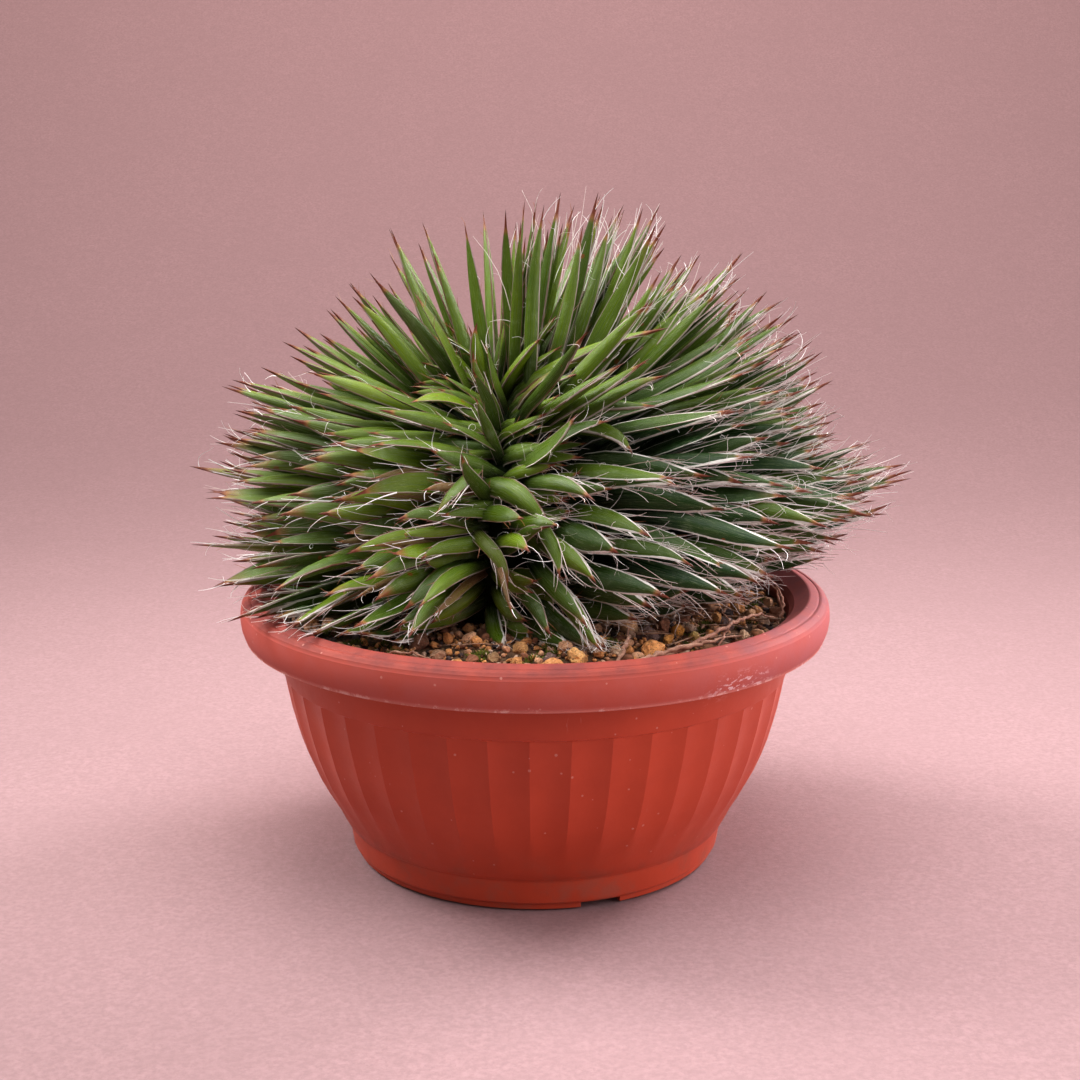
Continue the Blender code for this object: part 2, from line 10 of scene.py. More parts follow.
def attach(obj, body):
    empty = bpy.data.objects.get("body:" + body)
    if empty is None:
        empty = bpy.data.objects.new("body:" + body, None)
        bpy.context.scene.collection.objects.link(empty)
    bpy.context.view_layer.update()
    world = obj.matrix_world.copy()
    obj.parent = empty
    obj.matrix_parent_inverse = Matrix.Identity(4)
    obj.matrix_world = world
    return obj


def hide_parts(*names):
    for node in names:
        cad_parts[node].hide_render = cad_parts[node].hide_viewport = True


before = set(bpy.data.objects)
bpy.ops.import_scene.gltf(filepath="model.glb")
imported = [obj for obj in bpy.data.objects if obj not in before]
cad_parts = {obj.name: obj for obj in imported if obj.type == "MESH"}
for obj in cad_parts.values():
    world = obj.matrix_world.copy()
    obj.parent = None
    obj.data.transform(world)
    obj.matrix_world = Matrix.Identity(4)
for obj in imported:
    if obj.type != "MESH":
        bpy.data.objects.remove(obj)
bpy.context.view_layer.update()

print("frame loaded:", sorted(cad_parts))


# small helpers

def vec(x, y, z):
    return np.array([x, y, z], dtype=float)


def unit(v):
    return v / max(1e-9, float(np.linalg.norm(v)))


def randomWay(draw):
    return vec(draw.gauss(0, 1), draw.gauss(0, 1), draw.gauss(0, 1))


def polar(r, turn):
    return r * cos(turn), r * sin(turn)


def blend(a, b, t):
    return a + (b - a) * t


def smoothStep(low, high, x):
    t = min(1.0, max(0.0, (x - low) / (high - low)))
    return t * t * (3.0 - 2.0 * t)


def deselectAll():
    if bpy.context.object and bpy.context.object.mode != "OBJECT":
        bpy.ops.object.mode_set(mode="OBJECT")
    bpy.ops.object.select_all(action="DESELECT")


def makeActive(piece):
    deselectAll()
    piece.select_set(True)
    bpy.context.view_layer.objects.active = piece


def editMesh(action="SELECT"):
    bpy.ops.object.mode_set(mode="EDIT")
    bpy.ops.mesh.select_all(action=action)


def extrude(y=0.0, z=0.0):
    bpy.ops.mesh.extrude_region_move(TRANSFORM_OT_translate={"value": (0, y, z)})


def closeMesh():
    # the last ring drawn together, and all faces turned outwards
    bpy.ops.mesh.merge(type="CENTER")
    bpy.ops.mesh.select_all(action="SELECT")
    bpy.ops.mesh.remove_doubles(threshold=0.000005)
    bpy.ops.mesh.normals_make_consistent(inside=False)
    bpy.ops.object.mode_set(mode="OBJECT")


def selectRing(piece, radius, height):
    near = 0.00001
    bpy.ops.mesh.select_all(action="DESELECT")
    bpy.ops.mesh.select_mode(type="VERT")
    bm = bmesh.from_edit_mesh(piece.data)
    for vert in bm.verts:
        if abs(hypot(vert.co.x, vert.co.y) - radius) < near and abs(vert.co.z - height) < near:
            vert.select = True
    bm.select_flush_mode()
    bmesh.update_edit_mesh(piece.data)


def lathe(name, rows, columns, phase=0.0):
    # a ring, extruded and scaled from row to row, and closed on the axis at both ends
    deselectAll()
    radius, height = rows[0]
    bpy.ops.mesh.primitive_circle_add(vertices=columns, radius=radius, fill_type="NOTHING",
                                      location=(0, 0, height), rotation=(0, 0, phase))
    piece = bpy.context.object
    piece.name = name
    bpy.ops.object.transform_apply(location=True, rotation=True, scale=True)
    editMesh()
    extrude()
    bpy.ops.mesh.merge(type="CENTER")
    selectRing(piece, radius, height)
    for newRadius, newHeight in rows[1:]:
        extrude(z=newHeight - height)
        k = newRadius / radius
        bpy.ops.transform.resize(value=(k, k, 1), center_override=(0, 0, newHeight))
        radius, height = newRadius, newHeight
    extrude()
    closeMesh()
    return piece


def shadeSmooth(piece, angle):
    makeActive(piece)
    bpy.ops.object.shade_smooth_by_angle(angle=radians(angle))


def cutWith(piece, cutter, operation="DIFFERENCE"):
    makeActive(piece)
    cut = piece.modifiers.new("cut", "BOOLEAN")
    cut.operation = operation
    cut.solver = "EXACT"
    cut.object = cutter
    bpy.ops.object.modifier_apply(modifier=cut.name)
    bpy.data.objects.remove(cutter, do_unlink=True)


def dress(piece, mat):
    piece.data.materials.clear()
    piece.data.materials.append(mat)


def gather(name, bodies, traitName, angle):
    # many small bodies in one mesh: points, faces, a colour for a body or its points, a UV for each corner
    verts = []
    faces = []
    traits = []
    uvs = []
    total = 0
    for body, bodyFaces, tone, *corners in bodies:
        verts.append(body)
        faces += [[total + i for i in face] for face in bodyFaces]
        traits.append(np.broadcast_to(tone, (len(body), 4)))
        uvs += corners
        total += len(body)
    mesh = bpy.data.meshes.new(name)
    mesh.from_pydata([tuple(v) for v in np.concatenate(verts)], [], faces)
    if uvs:
        layer = mesh.uv_layers.new(name="leafMap")
        layer.data.foreach_set("uv", np.asarray(uvs, dtype=np.float32).ravel())
    layer = mesh.color_attributes.new(name=traitName, type="FLOAT_COLOR", domain="POINT")
    layer.data.foreach_set("color", np.concatenate(traits).astype(np.float32).ravel())
    mesh.update()
    piece = bpy.data.objects.new(name, mesh)
    bpy.context.scene.collection.objects.link(piece)
    shadeSmooth(piece, angle)
    return piece


def rodAlong(path, radii, sides, squash=1.0, aside=(0.1, 0.2, 0.97)):
    # a closed rod along a path, with a radius at each point
    verts = []
    faces = []
    side = None
    count = len(path)
    for k, point in enumerate(path):
        along = unit(path[min(k + 1, count - 1)] - path[max(k - 1, 0)])
        if side is None:
            side = unit(np.cross(along, aside))
        side = unit(side - along * float(np.dot(side, along)))
        other = np.cross(along, side)
        for j in range(sides):
            u, w = polar(1.0, 2.0 * pi * j / sides)
            verts.append(point + (side * u + other * w * squash) * radii[k])
    for k in range(count - 1):
        a = k * sides
        for j in range(sides):
            faces.append([a + j, a + (j + 1) % sides, a + sides + (j + 1) % sides, a + sides + j])
    faces.append(list(range(sides))[::-1])
    faces.append([(count - 1) * sides + j for j in range(sides)])
    return np.array(verts), faces


# shader helpers: each finds its tree from the sockets that it is given

def treeOf(*values):
    return next(value.id_data for value in values if isinstance(value, bpy.types.NodeSocket))


def feed(socket, value):
    if isinstance(value, bpy.types.NodeSocket):
        socket.id_data.links.new(value, socket)
    elif socket.type == "RGBA":
        socket.default_value = (value[0], value[1], value[2], 1.0)
    else:
        socket.default_value = value


def addNode(tree, kind, values=None, **settings):
    made = tree.nodes.new(kind)
    for key, value in settings.items():
        setattr(made, key, value)
    for key, value in (values or {}).items():
        feed(made.inputs[key], value)
    return made


def mixColour(factor, a, b, way="MIX"):
    values = {0: factor, 6: a, 7: b}
    return addNode(treeOf(factor, a, b), "ShaderNodeMix", values, data_type="RGBA", blend_type=way).outputs[2]


def mathsNode(operation, a, b, clamp=False):
    made = addNode(treeOf(a, b), "ShaderNodeMath", {0: a, 1: b}, operation=operation, use_clamp=clamp)
    return made.outputs[0]


def times(a, b):
    return mathsNode("MULTIPLY", a, b)


def plus(a, b, clamp=False):
    return mathsNode("ADD", a, b, clamp)


def minus(a, b):
    return mathsNode("SUBTRACT", a, b)


def rangeNode(value, low, high, outLow=0.0, outHigh=1.0):
    values = {0: value, 1: low, 2: high, 3: outLow, 4: outHigh}
    return addNode(value.id_data, "ShaderNodeMapRange", values, interpolation_type="SMOOTHSTEP").outputs[0]


def noiseNode(vector, scale, detail=3.0, roughness=0.55):
    values = {"Vector": vector, "Scale": scale, "Detail": detail, "Roughness": roughness}
    return addNode(vector.id_data, "ShaderNodeTexNoise", values).outputs[0]


def scaledVector(vector, scale):
    values = {0: vector, 1: scale}
    return addNode(vector.id_data, "ShaderNodeVectorMath", values, operation="MULTIPLY").outputs[0]


def separated(value, kind="XYZ"):
    return addNode(value.id_data, "ShaderNodeSeparate" + kind, {0: value}).outputs


def attributeNode(mat, name):
    return addNode(mat.node_tree, "ShaderNodeAttribute", attribute_name=name).outputs


def placeGroup(group, values):
    return addNode(values["Vector"].id_data, "ShaderNodeGroup", values, node_tree=group).outputs


def mottled(place, scale, amount, colour, dark):
    values = {"Vector": place, "Scale": scale, "Amount": amount, "Color": colour, "Dark Color": dark}
    return placeGroup(mottleGroup, values)["Color"]


def ownTone(mat, place, attribute, shade, scale, amount):
    # the colour that each body brought along, mottled with a darker one
    own = attributeNode(mat, attribute)["Color"]
    return own, mottled(place, scale, amount, own, mixColour(1.0, own, shade, "MULTIPLY"))


def newSkin(name):
    mat = bpy.data.materials.new(name)
    mat.use_nodes = True
    return mat, addNode(mat.node_tree, "ShaderNodeTexCoord").outputs["Object"]


def finishSkin(mat, colour, roughness, relief=None, specular=0.5):
    # the relief is a height, its strength and its distance
    inputs = mat.node_tree.nodes["Principled BSDF"].inputs
    feed(inputs["Base Color"], colour)
    feed(inputs["Roughness"], roughness)
    feed(inputs["Specular IOR Level"], specular)
    if relief:
        values = dict(zip(("Height", "Strength", "Distance"), relief))
        feed(inputs["Normal"], addNode(mat.node_tree, "ShaderNodeBump", values).outputs[0])
    return mat


def newGroup(name, inputs, outputs):
    group = bpy.data.node_groups.new(name, "ShaderNodeTree")
    for label, kind, value in inputs:
        socket = group.interface.new_socket(label, in_out="INPUT", socket_type="NodeSocket" + kind)
        if value is not None:
            socket.default_value = value
    for label, kind in outputs:
        group.interface.new_socket(label, in_out="OUTPUT", socket_type="NodeSocket" + kind)
    return group, group.nodes.new("NodeGroupInput").outputs, group.nodes.new("NodeGroupOutput").inputs


# pale specks of dust and grit, and a cloudy tone, which several finishes share

def makeSpeckGroup():
    group, start, end = newGroup("dustSpecks", [("Vector", "Vector", None), ("Scale", "Float", 400.0),
                                                ("Share", "Float", 0.1)], [("Mask", "Float")])
    values = {"Vector": start["Vector"], "Scale": start["Scale"]}
    cells = addNode(group, "ShaderNodeTexVoronoi", values, feature="F1").outputs
    pick = separated(cells["Color"], "Color")
    chosen = mathsNode("LESS_THAN", pick[0], start["Share"])
    near = mathsNode("LESS_THAN", cells["Distance"], times(pick[1], 0.30))
    feed(end["Mask"], times(chosen, near))
    return group


def makeMottleGroup():
    group, start, end = newGroup("mottledTone", [
        ("Vector", "Vector", None), ("Scale", "Float", 60.0), ("Amount", "Float", 0.5),
        ("Color", "Color", (0.5, 0.5, 0.5, 1)), ("Dark Color", "Color", (0.1, 0.1, 0.1, 1)),
    ], [("Color", "Color"), ("Mask", "Float")])
    mask = rangeNode(noiseNode(start["Vector"], start["Scale"], 6.0, 0.62), 0.35, 0.68)
    feed(end["Color"], mixColour(times(mask, start["Amount"]), start["Color"], start["Dark Color"]))
    feed(end["Mask"], mask)
    return group


speckGroup = makeSpeckGroup()
mottleGroup = makeMottleGroup()
print("shared effects made")


# camera, floor and light

studio = {
    "lens": 60.27, "sensor": 36.0, "distance": 0.600, "height": 0.2446, "pitch": 12.9, "aside": 0.00166,
    "view": "Standard", "gamma": 0.86, "exposure": 0.16,
    "floor": (0.345, 0.226, 0.236), "under": -0.0005, "wide": 7.0, "near": -3.35, "sweepFrom": 0.35,
    "sweepBend": 1.5, "sweepSteps": 24, "wall": 2.5, "ambient": 0.21, "room": (1.0, 0.96, 0.96),
    # grain of the paper: scale, detail, roughness, from, to, share, how dark
    "grain": [(520.0, 5.0, 0.75, 0.32, 0.68, 0.85, 0.80), (170.0, 4.0, 0.7, 0.35, 0.70, 0.50, 0.84),
              (14.0, 4.0, 0.6, 0.3, 0.7, 0.35, 0.88)],
    # name: place, where it points, size, power, colour, how wide it spreads
    "lamps": {
        "topLight": ((-0.05, -0.14, 1.15), (0, 0, 0.11), 1.05, 16.0, (1.0, 0.985, 0.96), 180),
        "skyLeft": ((-0.80, 0.30, 0.90), (0, 0, 0.13), 0.50, 1.7, (1.0, 0.99, 0.97), 60),
        "windowLeft": ((-1.00, -0.70, 0.60), (0, 0, 0.10), 0.50, 1.0, (1.0, 0.97, 0.94), 180),
        "windowRight": ((1.00, -0.40, 0.40), (0, 0, 0.06), 0.80, 8.0, (1.0, 0.90, 0.92), 180),
        "rimLight": ((0.85, 0.62, 0.70), (0, 0, 0.11), 0.50, 1.4, (1.0, 0.97, 0.98), 50),
        "backdropLight": ((0.0, 0.95, 2.00), (0, 2.2, 0.90), 1.20, 34.0, (1.0, 0.85, 0.79), 180),
    },
}


def makeCamera(scene):
    lens = bpy.data.cameras.new("photoCamera")
    lens.lens = studio["lens"]
    lens.sensor_width = studio["sensor"]
    lens.clip_start = 0.01
    camera = bpy.data.objects.new("photoCamera", lens)
    scene.collection.objects.link(camera)
    camera.location = (studio["aside"], -studio["distance"], studio["height"])
    camera.rotation_euler = (radians(90.0 - studio["pitch"]), 0, 0)
    scene.camera = camera
    scene.view_settings.view_transform = studio["view"]
    scene.view_settings.gamma = studio["gamma"]
    scene.view_settings.exposure = studio["exposure"]


def makeSweep():
    # a paper sweep: flat under the pot, turned up behind it in a wide curve
    deselectAll()
    bpy.ops.mesh.primitive_plane_add(size=1.0, location=(0, 0, studio["under"]))
    floor = bpy.context.object
    floor.name = "paperSweep"
    floor.scale = (studio["wide"], studio["sweepFrom"] - studio["near"], 1.0)
    floor.location.y = 0.5 * (studio["sweepFrom"] + studio["near"])
    bpy.ops.object.transform_apply(location=True, rotation=False, scale=True)
    editMesh("DESELECT")
    bpy.ops.mesh.select_mode(type="EDGE")
    bm = bmesh.from_edit_mesh(floor.data)
    for edge in bm.edges:
        if all(vert.co.y > studio["sweepFrom"] - 0.1 for vert in edge.verts):
            edge.select = True
    bmesh.update_edit_mesh(floor.data)
    run = studio["sweepBend"] * radians(90.0) / studio["sweepSteps"]
    for k in range(studio["sweepSteps"]):
        extrude(*polar(run, radians(90.0) * (k + 0.5) / studio["sweepSteps"]))
    extrude(z=studio["wall"])
    bpy.ops.object.mode_set(mode="OBJECT")
    shadeSmooth(floor, 60)
    mat, place = newSkin("palePaper")
    tone = tuple(c * 1.07 for c in studio["floor"])
    grains = [noiseNode(place, *row[:3]) for row in studio["grain"]]
    for grain, (*_, low, high, share, dark) in zip(grains, studio["grain"]):
        darker = tuple(c * dark for c in studio["floor"])
        tone = mixColour(rangeNode(grain, low, high, 0.0, share), tone, darker)
    dress(floor, finishSkin(mat, tone, 0.9, (grains[0], 0.30, 0.0008)))


def makeLight(scene):
    for name, (place, target, size, power, colour, spread) in studio["lamps"].items():
        lampData = bpy.data.lights.new(name, "AREA")
        lampData.shape = "SQUARE"
        lampData.size = size
        lampData.energy = power
        lampData.color = colour
        lampData.spread = radians(spread)
        lamp = bpy.data.objects.new(name, lampData)
        scene.collection.objects.link(lamp)
        lamp.location = place
        lamp.rotation_euler = (Vector(target) - Vector(place)).to_track_quat("-Z", "Y").to_euler()
    world = bpy.data.worlds.new("softRoom")
    scene.world = world
    world.use_nodes = True
    feed(world.node_tree.nodes["Background"].inputs["Color"], studio["room"])
    feed(world.node_tree.nodes["Background"].inputs["Strength"], studio["ambient"])


makeCamera(bpy.context.scene)
makeSweep()
makeLight(bpy.context.scene)
print("camera, floor and light set")


# the bowl

bowlLook = {
    "flutes": 42, "perFlute": 8, "fluteDepth": 0.0009, "fluteTop": 0.0646, "fluteFade": 0.012,
    "fluteFull": 0.036, "phase": radians(-91.0), "wall": 0.0022,
    "notches": 3, "notchWidth": 0.0135, "notchHeight": 0.0018, "notchDepth": 0.016, "notchRing": 0.061,
    "notchPhase": radians(-70.0),
    "drains": 5, "drainRadius": 0.0035, "drainRing": 0.036, "drainDepth": 0.012, "drainMiddle": 0.004,
}
wallRows = [(0.0886, 0.0884), (0.0884, 0.0860), (0.0876, 0.0780), (0.0869, 0.0715), (0.0862, 0.0655),
            (0.08605, 0.0650), (0.0858, 0.0646), (0.0850, 0.0600), (0.0837, 0.0535), (0.0823, 0.0480),
            (0.0808, 0.0425), (0.0788, 0.0368), (0.0764, 0.0310), (0.0734, 0.0252), (0.0700, 0.0195),
            (0.0680, 0.0155), (0.0662, 0.0122), (0.0653, 0.0112), (0.0649, 0.0104), (0.0643, 0.0068),
            (0.0637, 0.0030), (0.0634, 0.0025), (0.0624, 0.0021), (0.0622, 0.0016), (0.0622, 0.0003),
            (0.0619, 0.0)]
lipRows = [(0.0880, 0.0884), (0.0925, 0.0911), (0.0929, 0.09135), (0.0934, 0.0914), (0.0948, 0.0910),
           (0.0958, 0.09055), (0.09615, 0.09025), (0.09635, 0.0902), (0.0966, 0.09035), (0.0972, 0.0903),
           (0.0980, 0.08985), (0.0989, 0.0890), (0.0995, 0.0878), (0.0998, 0.0860), (0.0999, 0.0838),
           (0.0996, 0.0814), (0.0990, 0.0796), (0.0984, 0.0784), (0.0984, 0.07795), (0.0980, 0.0777),
           (0.0968, 0.0779), (0.0962, 0.0784), (0.0959, 0.0820), (0.0955, 0.0862), (0.0948, 0.0874),
           (0.0930, 0.0878), (0.0900, 0.0880)]


def wallRadius(z):
    points = sorted((height, radius) for radius, height in wallRows)
    return float(np.interp(z, [p[0] for p in points], [p[1] for p in points]))


def innerRows(inset):
    rows = [(0.0030, 0.0055 + inset), (0.0300, 0.0055 + inset), (0.0560 - inset, 0.0055 + inset),
            (0.0590 - inset, 0.0062 + inset)]
    for z in (0.0120, 0.0210, 0.0300, 0.0385, 0.0470, 0.0555, 0.0640, 0.0710, 0.0780, 0.0830):
        rows.append((wallRadius(z) - bowlLook["wall"] - inset, z))
    return rows


def makeBowl():
    look = bowlLook
    rows = innerRows(0.0) + [(0.0864, 0.0865)] + lipRows + wallRows
    rows += [(0.0585, 0.0), (0.0577, 0.0004), (0.0573, 0.0025), (0.0300, 0.0025), (0.0030, 0.0025)]
    bowl = lathe("bowlPot", rows, look["flutes"] * look["perFlute"], look["phase"])
    # each flute is a shallow hollow between two crisp edges, and fades out above the foot
    pitch = 2.0 * pi / look["flutes"]
    for vert in bowl.data.vertices:
        x, y, z = vert.co
        r = hypot(x, y)
        if z > look["fluteTop"] + 0.0001 or z < look["fluteFade"] or r < wallRadius(z) - 0.0010:
            continue
        part = ((atan2(y, x) - look["phase"]) / pitch) % 1.0
        hollow = 1.0 - abs(2.0 * part - 1.0) ** 1.8
        depth = look["fluteDepth"] * hollow * smoothStep(look["fluteFade"], look["fluteFull"], z)
        vert.co.x = x * (r - depth) / r
        vert.co.y = y * (r - depth) / r
    for k in range(look["notches"]):
        turn = look["notchPhase"] + 2.0 * pi * k / look["notches"]
        deselectAll()
        bpy.ops.mesh.primitive_cube_add(
            size=1.0, location=(*polar(look["notchRing"], turn), 0.0), rotation=(0, 0, turn),
            scale=(look["notchDepth"], look["notchWidth"], 2.0 * look["notchHeight"]))
        cutWith(bowl, bpy.context.object)
    for k in range(look["drains"]):
        place = (*polar(look["drainRing"], 2.0 * pi * k / look["drains"]), look["drainMiddle"])
        deselectAll()
        bpy.ops.mesh.primitive_cylinder_add(vertices=24, radius=look["drainRadius"], depth=look["drainDepth"],
                                            location=place)
        cutWith(bowl, bpy.context.object)
    shadeSmooth(bowl, 14)
    return bowl


def bowlPlastic():
    mat, place = newSkin("terracottaPlastic")
    across, _, height = separated(place)
    colour = mottled(place, 38.0, 0.45, (0.53, 0.074, 0.031), (0.43, 0.054, 0.022))
    # the lip is faded and dusty, with painted shade darkening it from its front to its top, and a chalky line
    # follows its lower edge
    lipMask = rangeNode(height, 0.0768, 0.0776)
    faded = noiseNode(place, 90.0, 5.0, 0.65)
    # painted shade: the lip tone darkens towards the top of the lip
    fadedLipShadedTop = mixColour(rangeNode(height, 0.0872, 0.0898), (0.48, 0.122, 0.105), (0.118, 0.032, 0.036))
    # painted sheen: the lip and the wall turn paler and pinker towards the right
    paintedRightSheen = times(rangeNode(across, 0.035, 0.100), 0.55)
    fadedLipShadedTop = mixColour(paintedRightSheen, fadedLipShadedTop, (0.47, 0.200, 0.240))
    colour = mixColour(times(paintedRightSheen, 0.45), colour, (0.46, 0.135, 0.120))
    colour = mixColour(times(lipMask, rangeNode(faded, 0.25, 0.75, 0.45, 0.85)), colour, fadedLipShadedTop)
    line = times(rangeNode(height, 0.0795, 0.0782), rangeNode(height, 0.0770, 0.0777))
    chips = rangeNode(noiseNode(place, 210.0, 6.0, 0.75), 0.52, 0.60)
    colour = mixColour(times(line, 0.45), colour, (0.62, 0.26, 0.22))
    colour = mixColour(times(times(line, chips), 0.6), colour, (0.74, 0.46, 0.42))
    # chalk rubbed onto the lip at the front right
    values = {0: place, 1: (0.062, -0.076, 0.080)}
    away = addNode(mat.node_tree, "ShaderNodeVectorMath", values, operation="DISTANCE").outputs["Value"]
    chalk = rangeNode(noiseNode(scaledVector(place, (1.0, 1.0, 2.2)), 330.0, 4.0, 0.7), 0.53, 0.60)
    chalk = times(times(rangeNode(away, 0.017, 0.004), chalk), rangeNode(height, 0.0862, 0.0800))
    colour = mixColour(times(chalk, 0.75), colour, (0.86, 0.66, 0.68))
    # fine specks, and long thin scuffs
    fine = placeGroup(speckGroup, {"Vector": place, "Scale": 620.0, "Share": 0.05})["Mask"]
    colour = mixColour(times(fine, 0.50), colour, (0.66, 0.36, 0.31))
    scuff = rangeNode(noiseNode(scaledVector(place, (1.0, 1.0, 0.12)), 520.0, 3.0, 0.8), 0.68, 0.74)
    zone = rangeNode(noiseNode(place, 22.0, 2.0), 0.52, 0.62)
    colour = mixColour(times(times(scuff, zone), 0.35), colour, (0.60, 0.27, 0.22))
    # soil dust low on the wall and in the flutes
    dust = times(rangeNode(height, 0.030, 0.002, 0.0, 0.45), rangeNode(faded, 0.45, 0.7))
    colour = mixColour(dust, colour, (0.30, 0.12, 0.085))
    rough = plus(rangeNode(faded, 0.2, 0.8, 0.34, 0.50), times(lipMask, 0.26))
    rough = plus(rough, times(fine, 0.3))
    grain = plus(noiseNode(place, 900.0, 4.0, 0.6), times(fine, 0.8))
    return finishSkin(mat, colour, rough, (grain, 0.16, 0.00025), 0.40)


bowl = makeBowl()
dress(bowl, bowlPlastic())
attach(bowl, "root")
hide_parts("pot")
print("bowl made:", len(bowl.data.polygons), "faces")


# the leaves of the crest, placed by the same rule as the solids

crest = {
    "centre": vec(0.002, 0.004, 0.110), "radii": vec(0.060, 0.053, 0.050), "lineX": -0.25,
    "halfWidth": 0.0037, "keel": 0.0024, "root": 0.0060, "stoneTop": 0.0873, "mixTop": 0.0835,
    "relief": 0.0007,
    # what the leaves keep clear of: mix, stones and lip, with where they begin
    "overMix": 0.0006, "overStones": 0.0005, "stonesFrom": (0.046, 0.054), "overLip": 0.0046,
    "lipFrom": (0.070, 0.0865), "lipEnds": 0.104, "lowest": 0.080, "bare": 0.034,
    # leaves as in the solids and further ones: how many are offered, the seed, and the gap that they keep
    "rule": (322, 7, 0.0034), "young": (38, 12, 0.0026), "more": (500, 23), "moreGaps": (0.0024, 0.0044),
    "moreYoung": (90, 13, 0.0016), "heart": (48, 0.0009), "dead": (420, 41, 0.0013),
    "marks": (0.30, 0.40, 0.50, 0.60, 0.70, 0.80, 0.90, 1.0), "shapeSeed": 5, "toneSeed": 91,
    "tufts": 0.12, "tuftGrain": vec(5.0, 2.2, 5.0), "twist": 0.30, "wave": 0.0022,
}
# the leaves that lead the eye at the front: foot on the crest (x, z), tip, how far the middle bows (mm),
# width, dryness, and how freely threads come off
leading = {
    "archingLeft": ((-12.9, 150.9), (-38.1, -40.0, 160.6), (0.0, -2.0, 4.5), 0.90, 0.35, 1.0),
    "uprightBroad": ((-15.4, 155.4), (-16.7, -20.0, 183.4), (-1.5, -2.0, 0.0), 1.15, 0.10, 1.0),
    "uprightRight": ((-11.5, 157.0), (1.9, -25.0, 178.2), (-1.5, -1.0, 1.0), 0.95, 0.20, 1.0),
    "bigRight": ((-9.5, 156.5), (47.5, -30.0, 185.0), (-3.0, -4.0, 3.5), 1.12, 0.10, 1.0),
    "redTip": ((-9.8, 139.2), (12.9, -62.0, 160.0), (1.5, -2.0, -1.5), 1.15, 0.10, 1.0),
    "folded": ((-16.2, 140.6), (-29.0, -62.0, 128.0), (1.0, -3.5, 3.0), 0.72, 0.40, 2.6),
    "hooked": ((-19.8, 121.1), (-10.2, -62.0, 103.7), (0.0, -5.5, 4.5), 0.68, 0.70, 2.6),
    "paleTip": ((-21.1, 118.9), (-43.7, -66.0, 118.0), (0.0, -3.0, -2.0), 1.05, 0.55, 1.0),
    "lowLeft": ((-19.2, 112.4), (-41.0, -66.0, 99.4), (1.0, -2.5, 2.5), 0.95, 0.30, 1.0),
    "archRight": ((-19.0, 133.0), (9.7, -63.0, 125.4), (0.0, -3.0, 5.0), 1.08, 0.20, 1.8),
    "shortRight": ((-18.9, 125.1), (-2.7, -66.0, 129.5), (0.0, -2.0, 1.5), 0.88, 0.35, 1.6),
    "hanging": ((-0.6, 127.9), (7.0, -68.0, 109.7), (-0.5, -4.0, 2.0), 0.72, 0.10, 1.0),
    "broadRight": ((4.1, 121.9), (25.8, -66.0, 117.6), (0.0, -2.5, 2.0), 1.25, 0.10, 1.0),
    "dryRight": ((-5.8, 154.5), (11.2, -38.0, 172.6), (-1.0, -2.0, 1.5), 0.80, 0.80, 1.0),
    "secondRight": ((1.6, 152.3), (42.4, -45.0, 161.3), (0.0, -3.0, 3.0), 1.02, 0.10, 1.0),
    "curveRight": ((8.0, 149.7), (31.4, -52.0, 145.0), (1.0, -3.5, 4.5), 1.08, 0.15, 1.0),
}
# where round the outline the tufts reach further or less far: turn from the right (degrees), spread, share
tuftReach = [(19.0, 6.0, -0.14), (64.0, 3.5, -0.12), (78.0, 4.0, 0.16), (105.0, 5.0, 0.21),
             (132.0, 4.0, -0.12), (164.0, 8.0, -0.09), (177.0, 4.0, -0.24)]
goldenTurn = pi * (3.0 - sqrt(5.0))


def growingLine(turn):
    return crest["lineX"] + 0.05 * sin(2.2 * turn)


def crestLine(q):
    return growingLine(atan2(-q[1], q[2]))


def onCrest(x, turn):
    level = sqrt(1.0 - x * x)
    return vec(x, -level * sin(turn), level * cos(turn))


def swell(x, middle, spread):
    return exp(-((x - middle) / spread) ** 2)


def outward(q):
    n = unit(q / crest["radii"])
    return unit(vec(n[0], n[1], max(n[2], -0.12)))


def facing(n, sweep, d, lift):
    face = n * float(np.dot(sweep, d)) - sweep * float(np.dot(n, d))
    up = vec(0, 0, 1) - d * d[2]
    face = unit(face + lift * up)
    return unit(face - d * float(np.dot(face, d)))


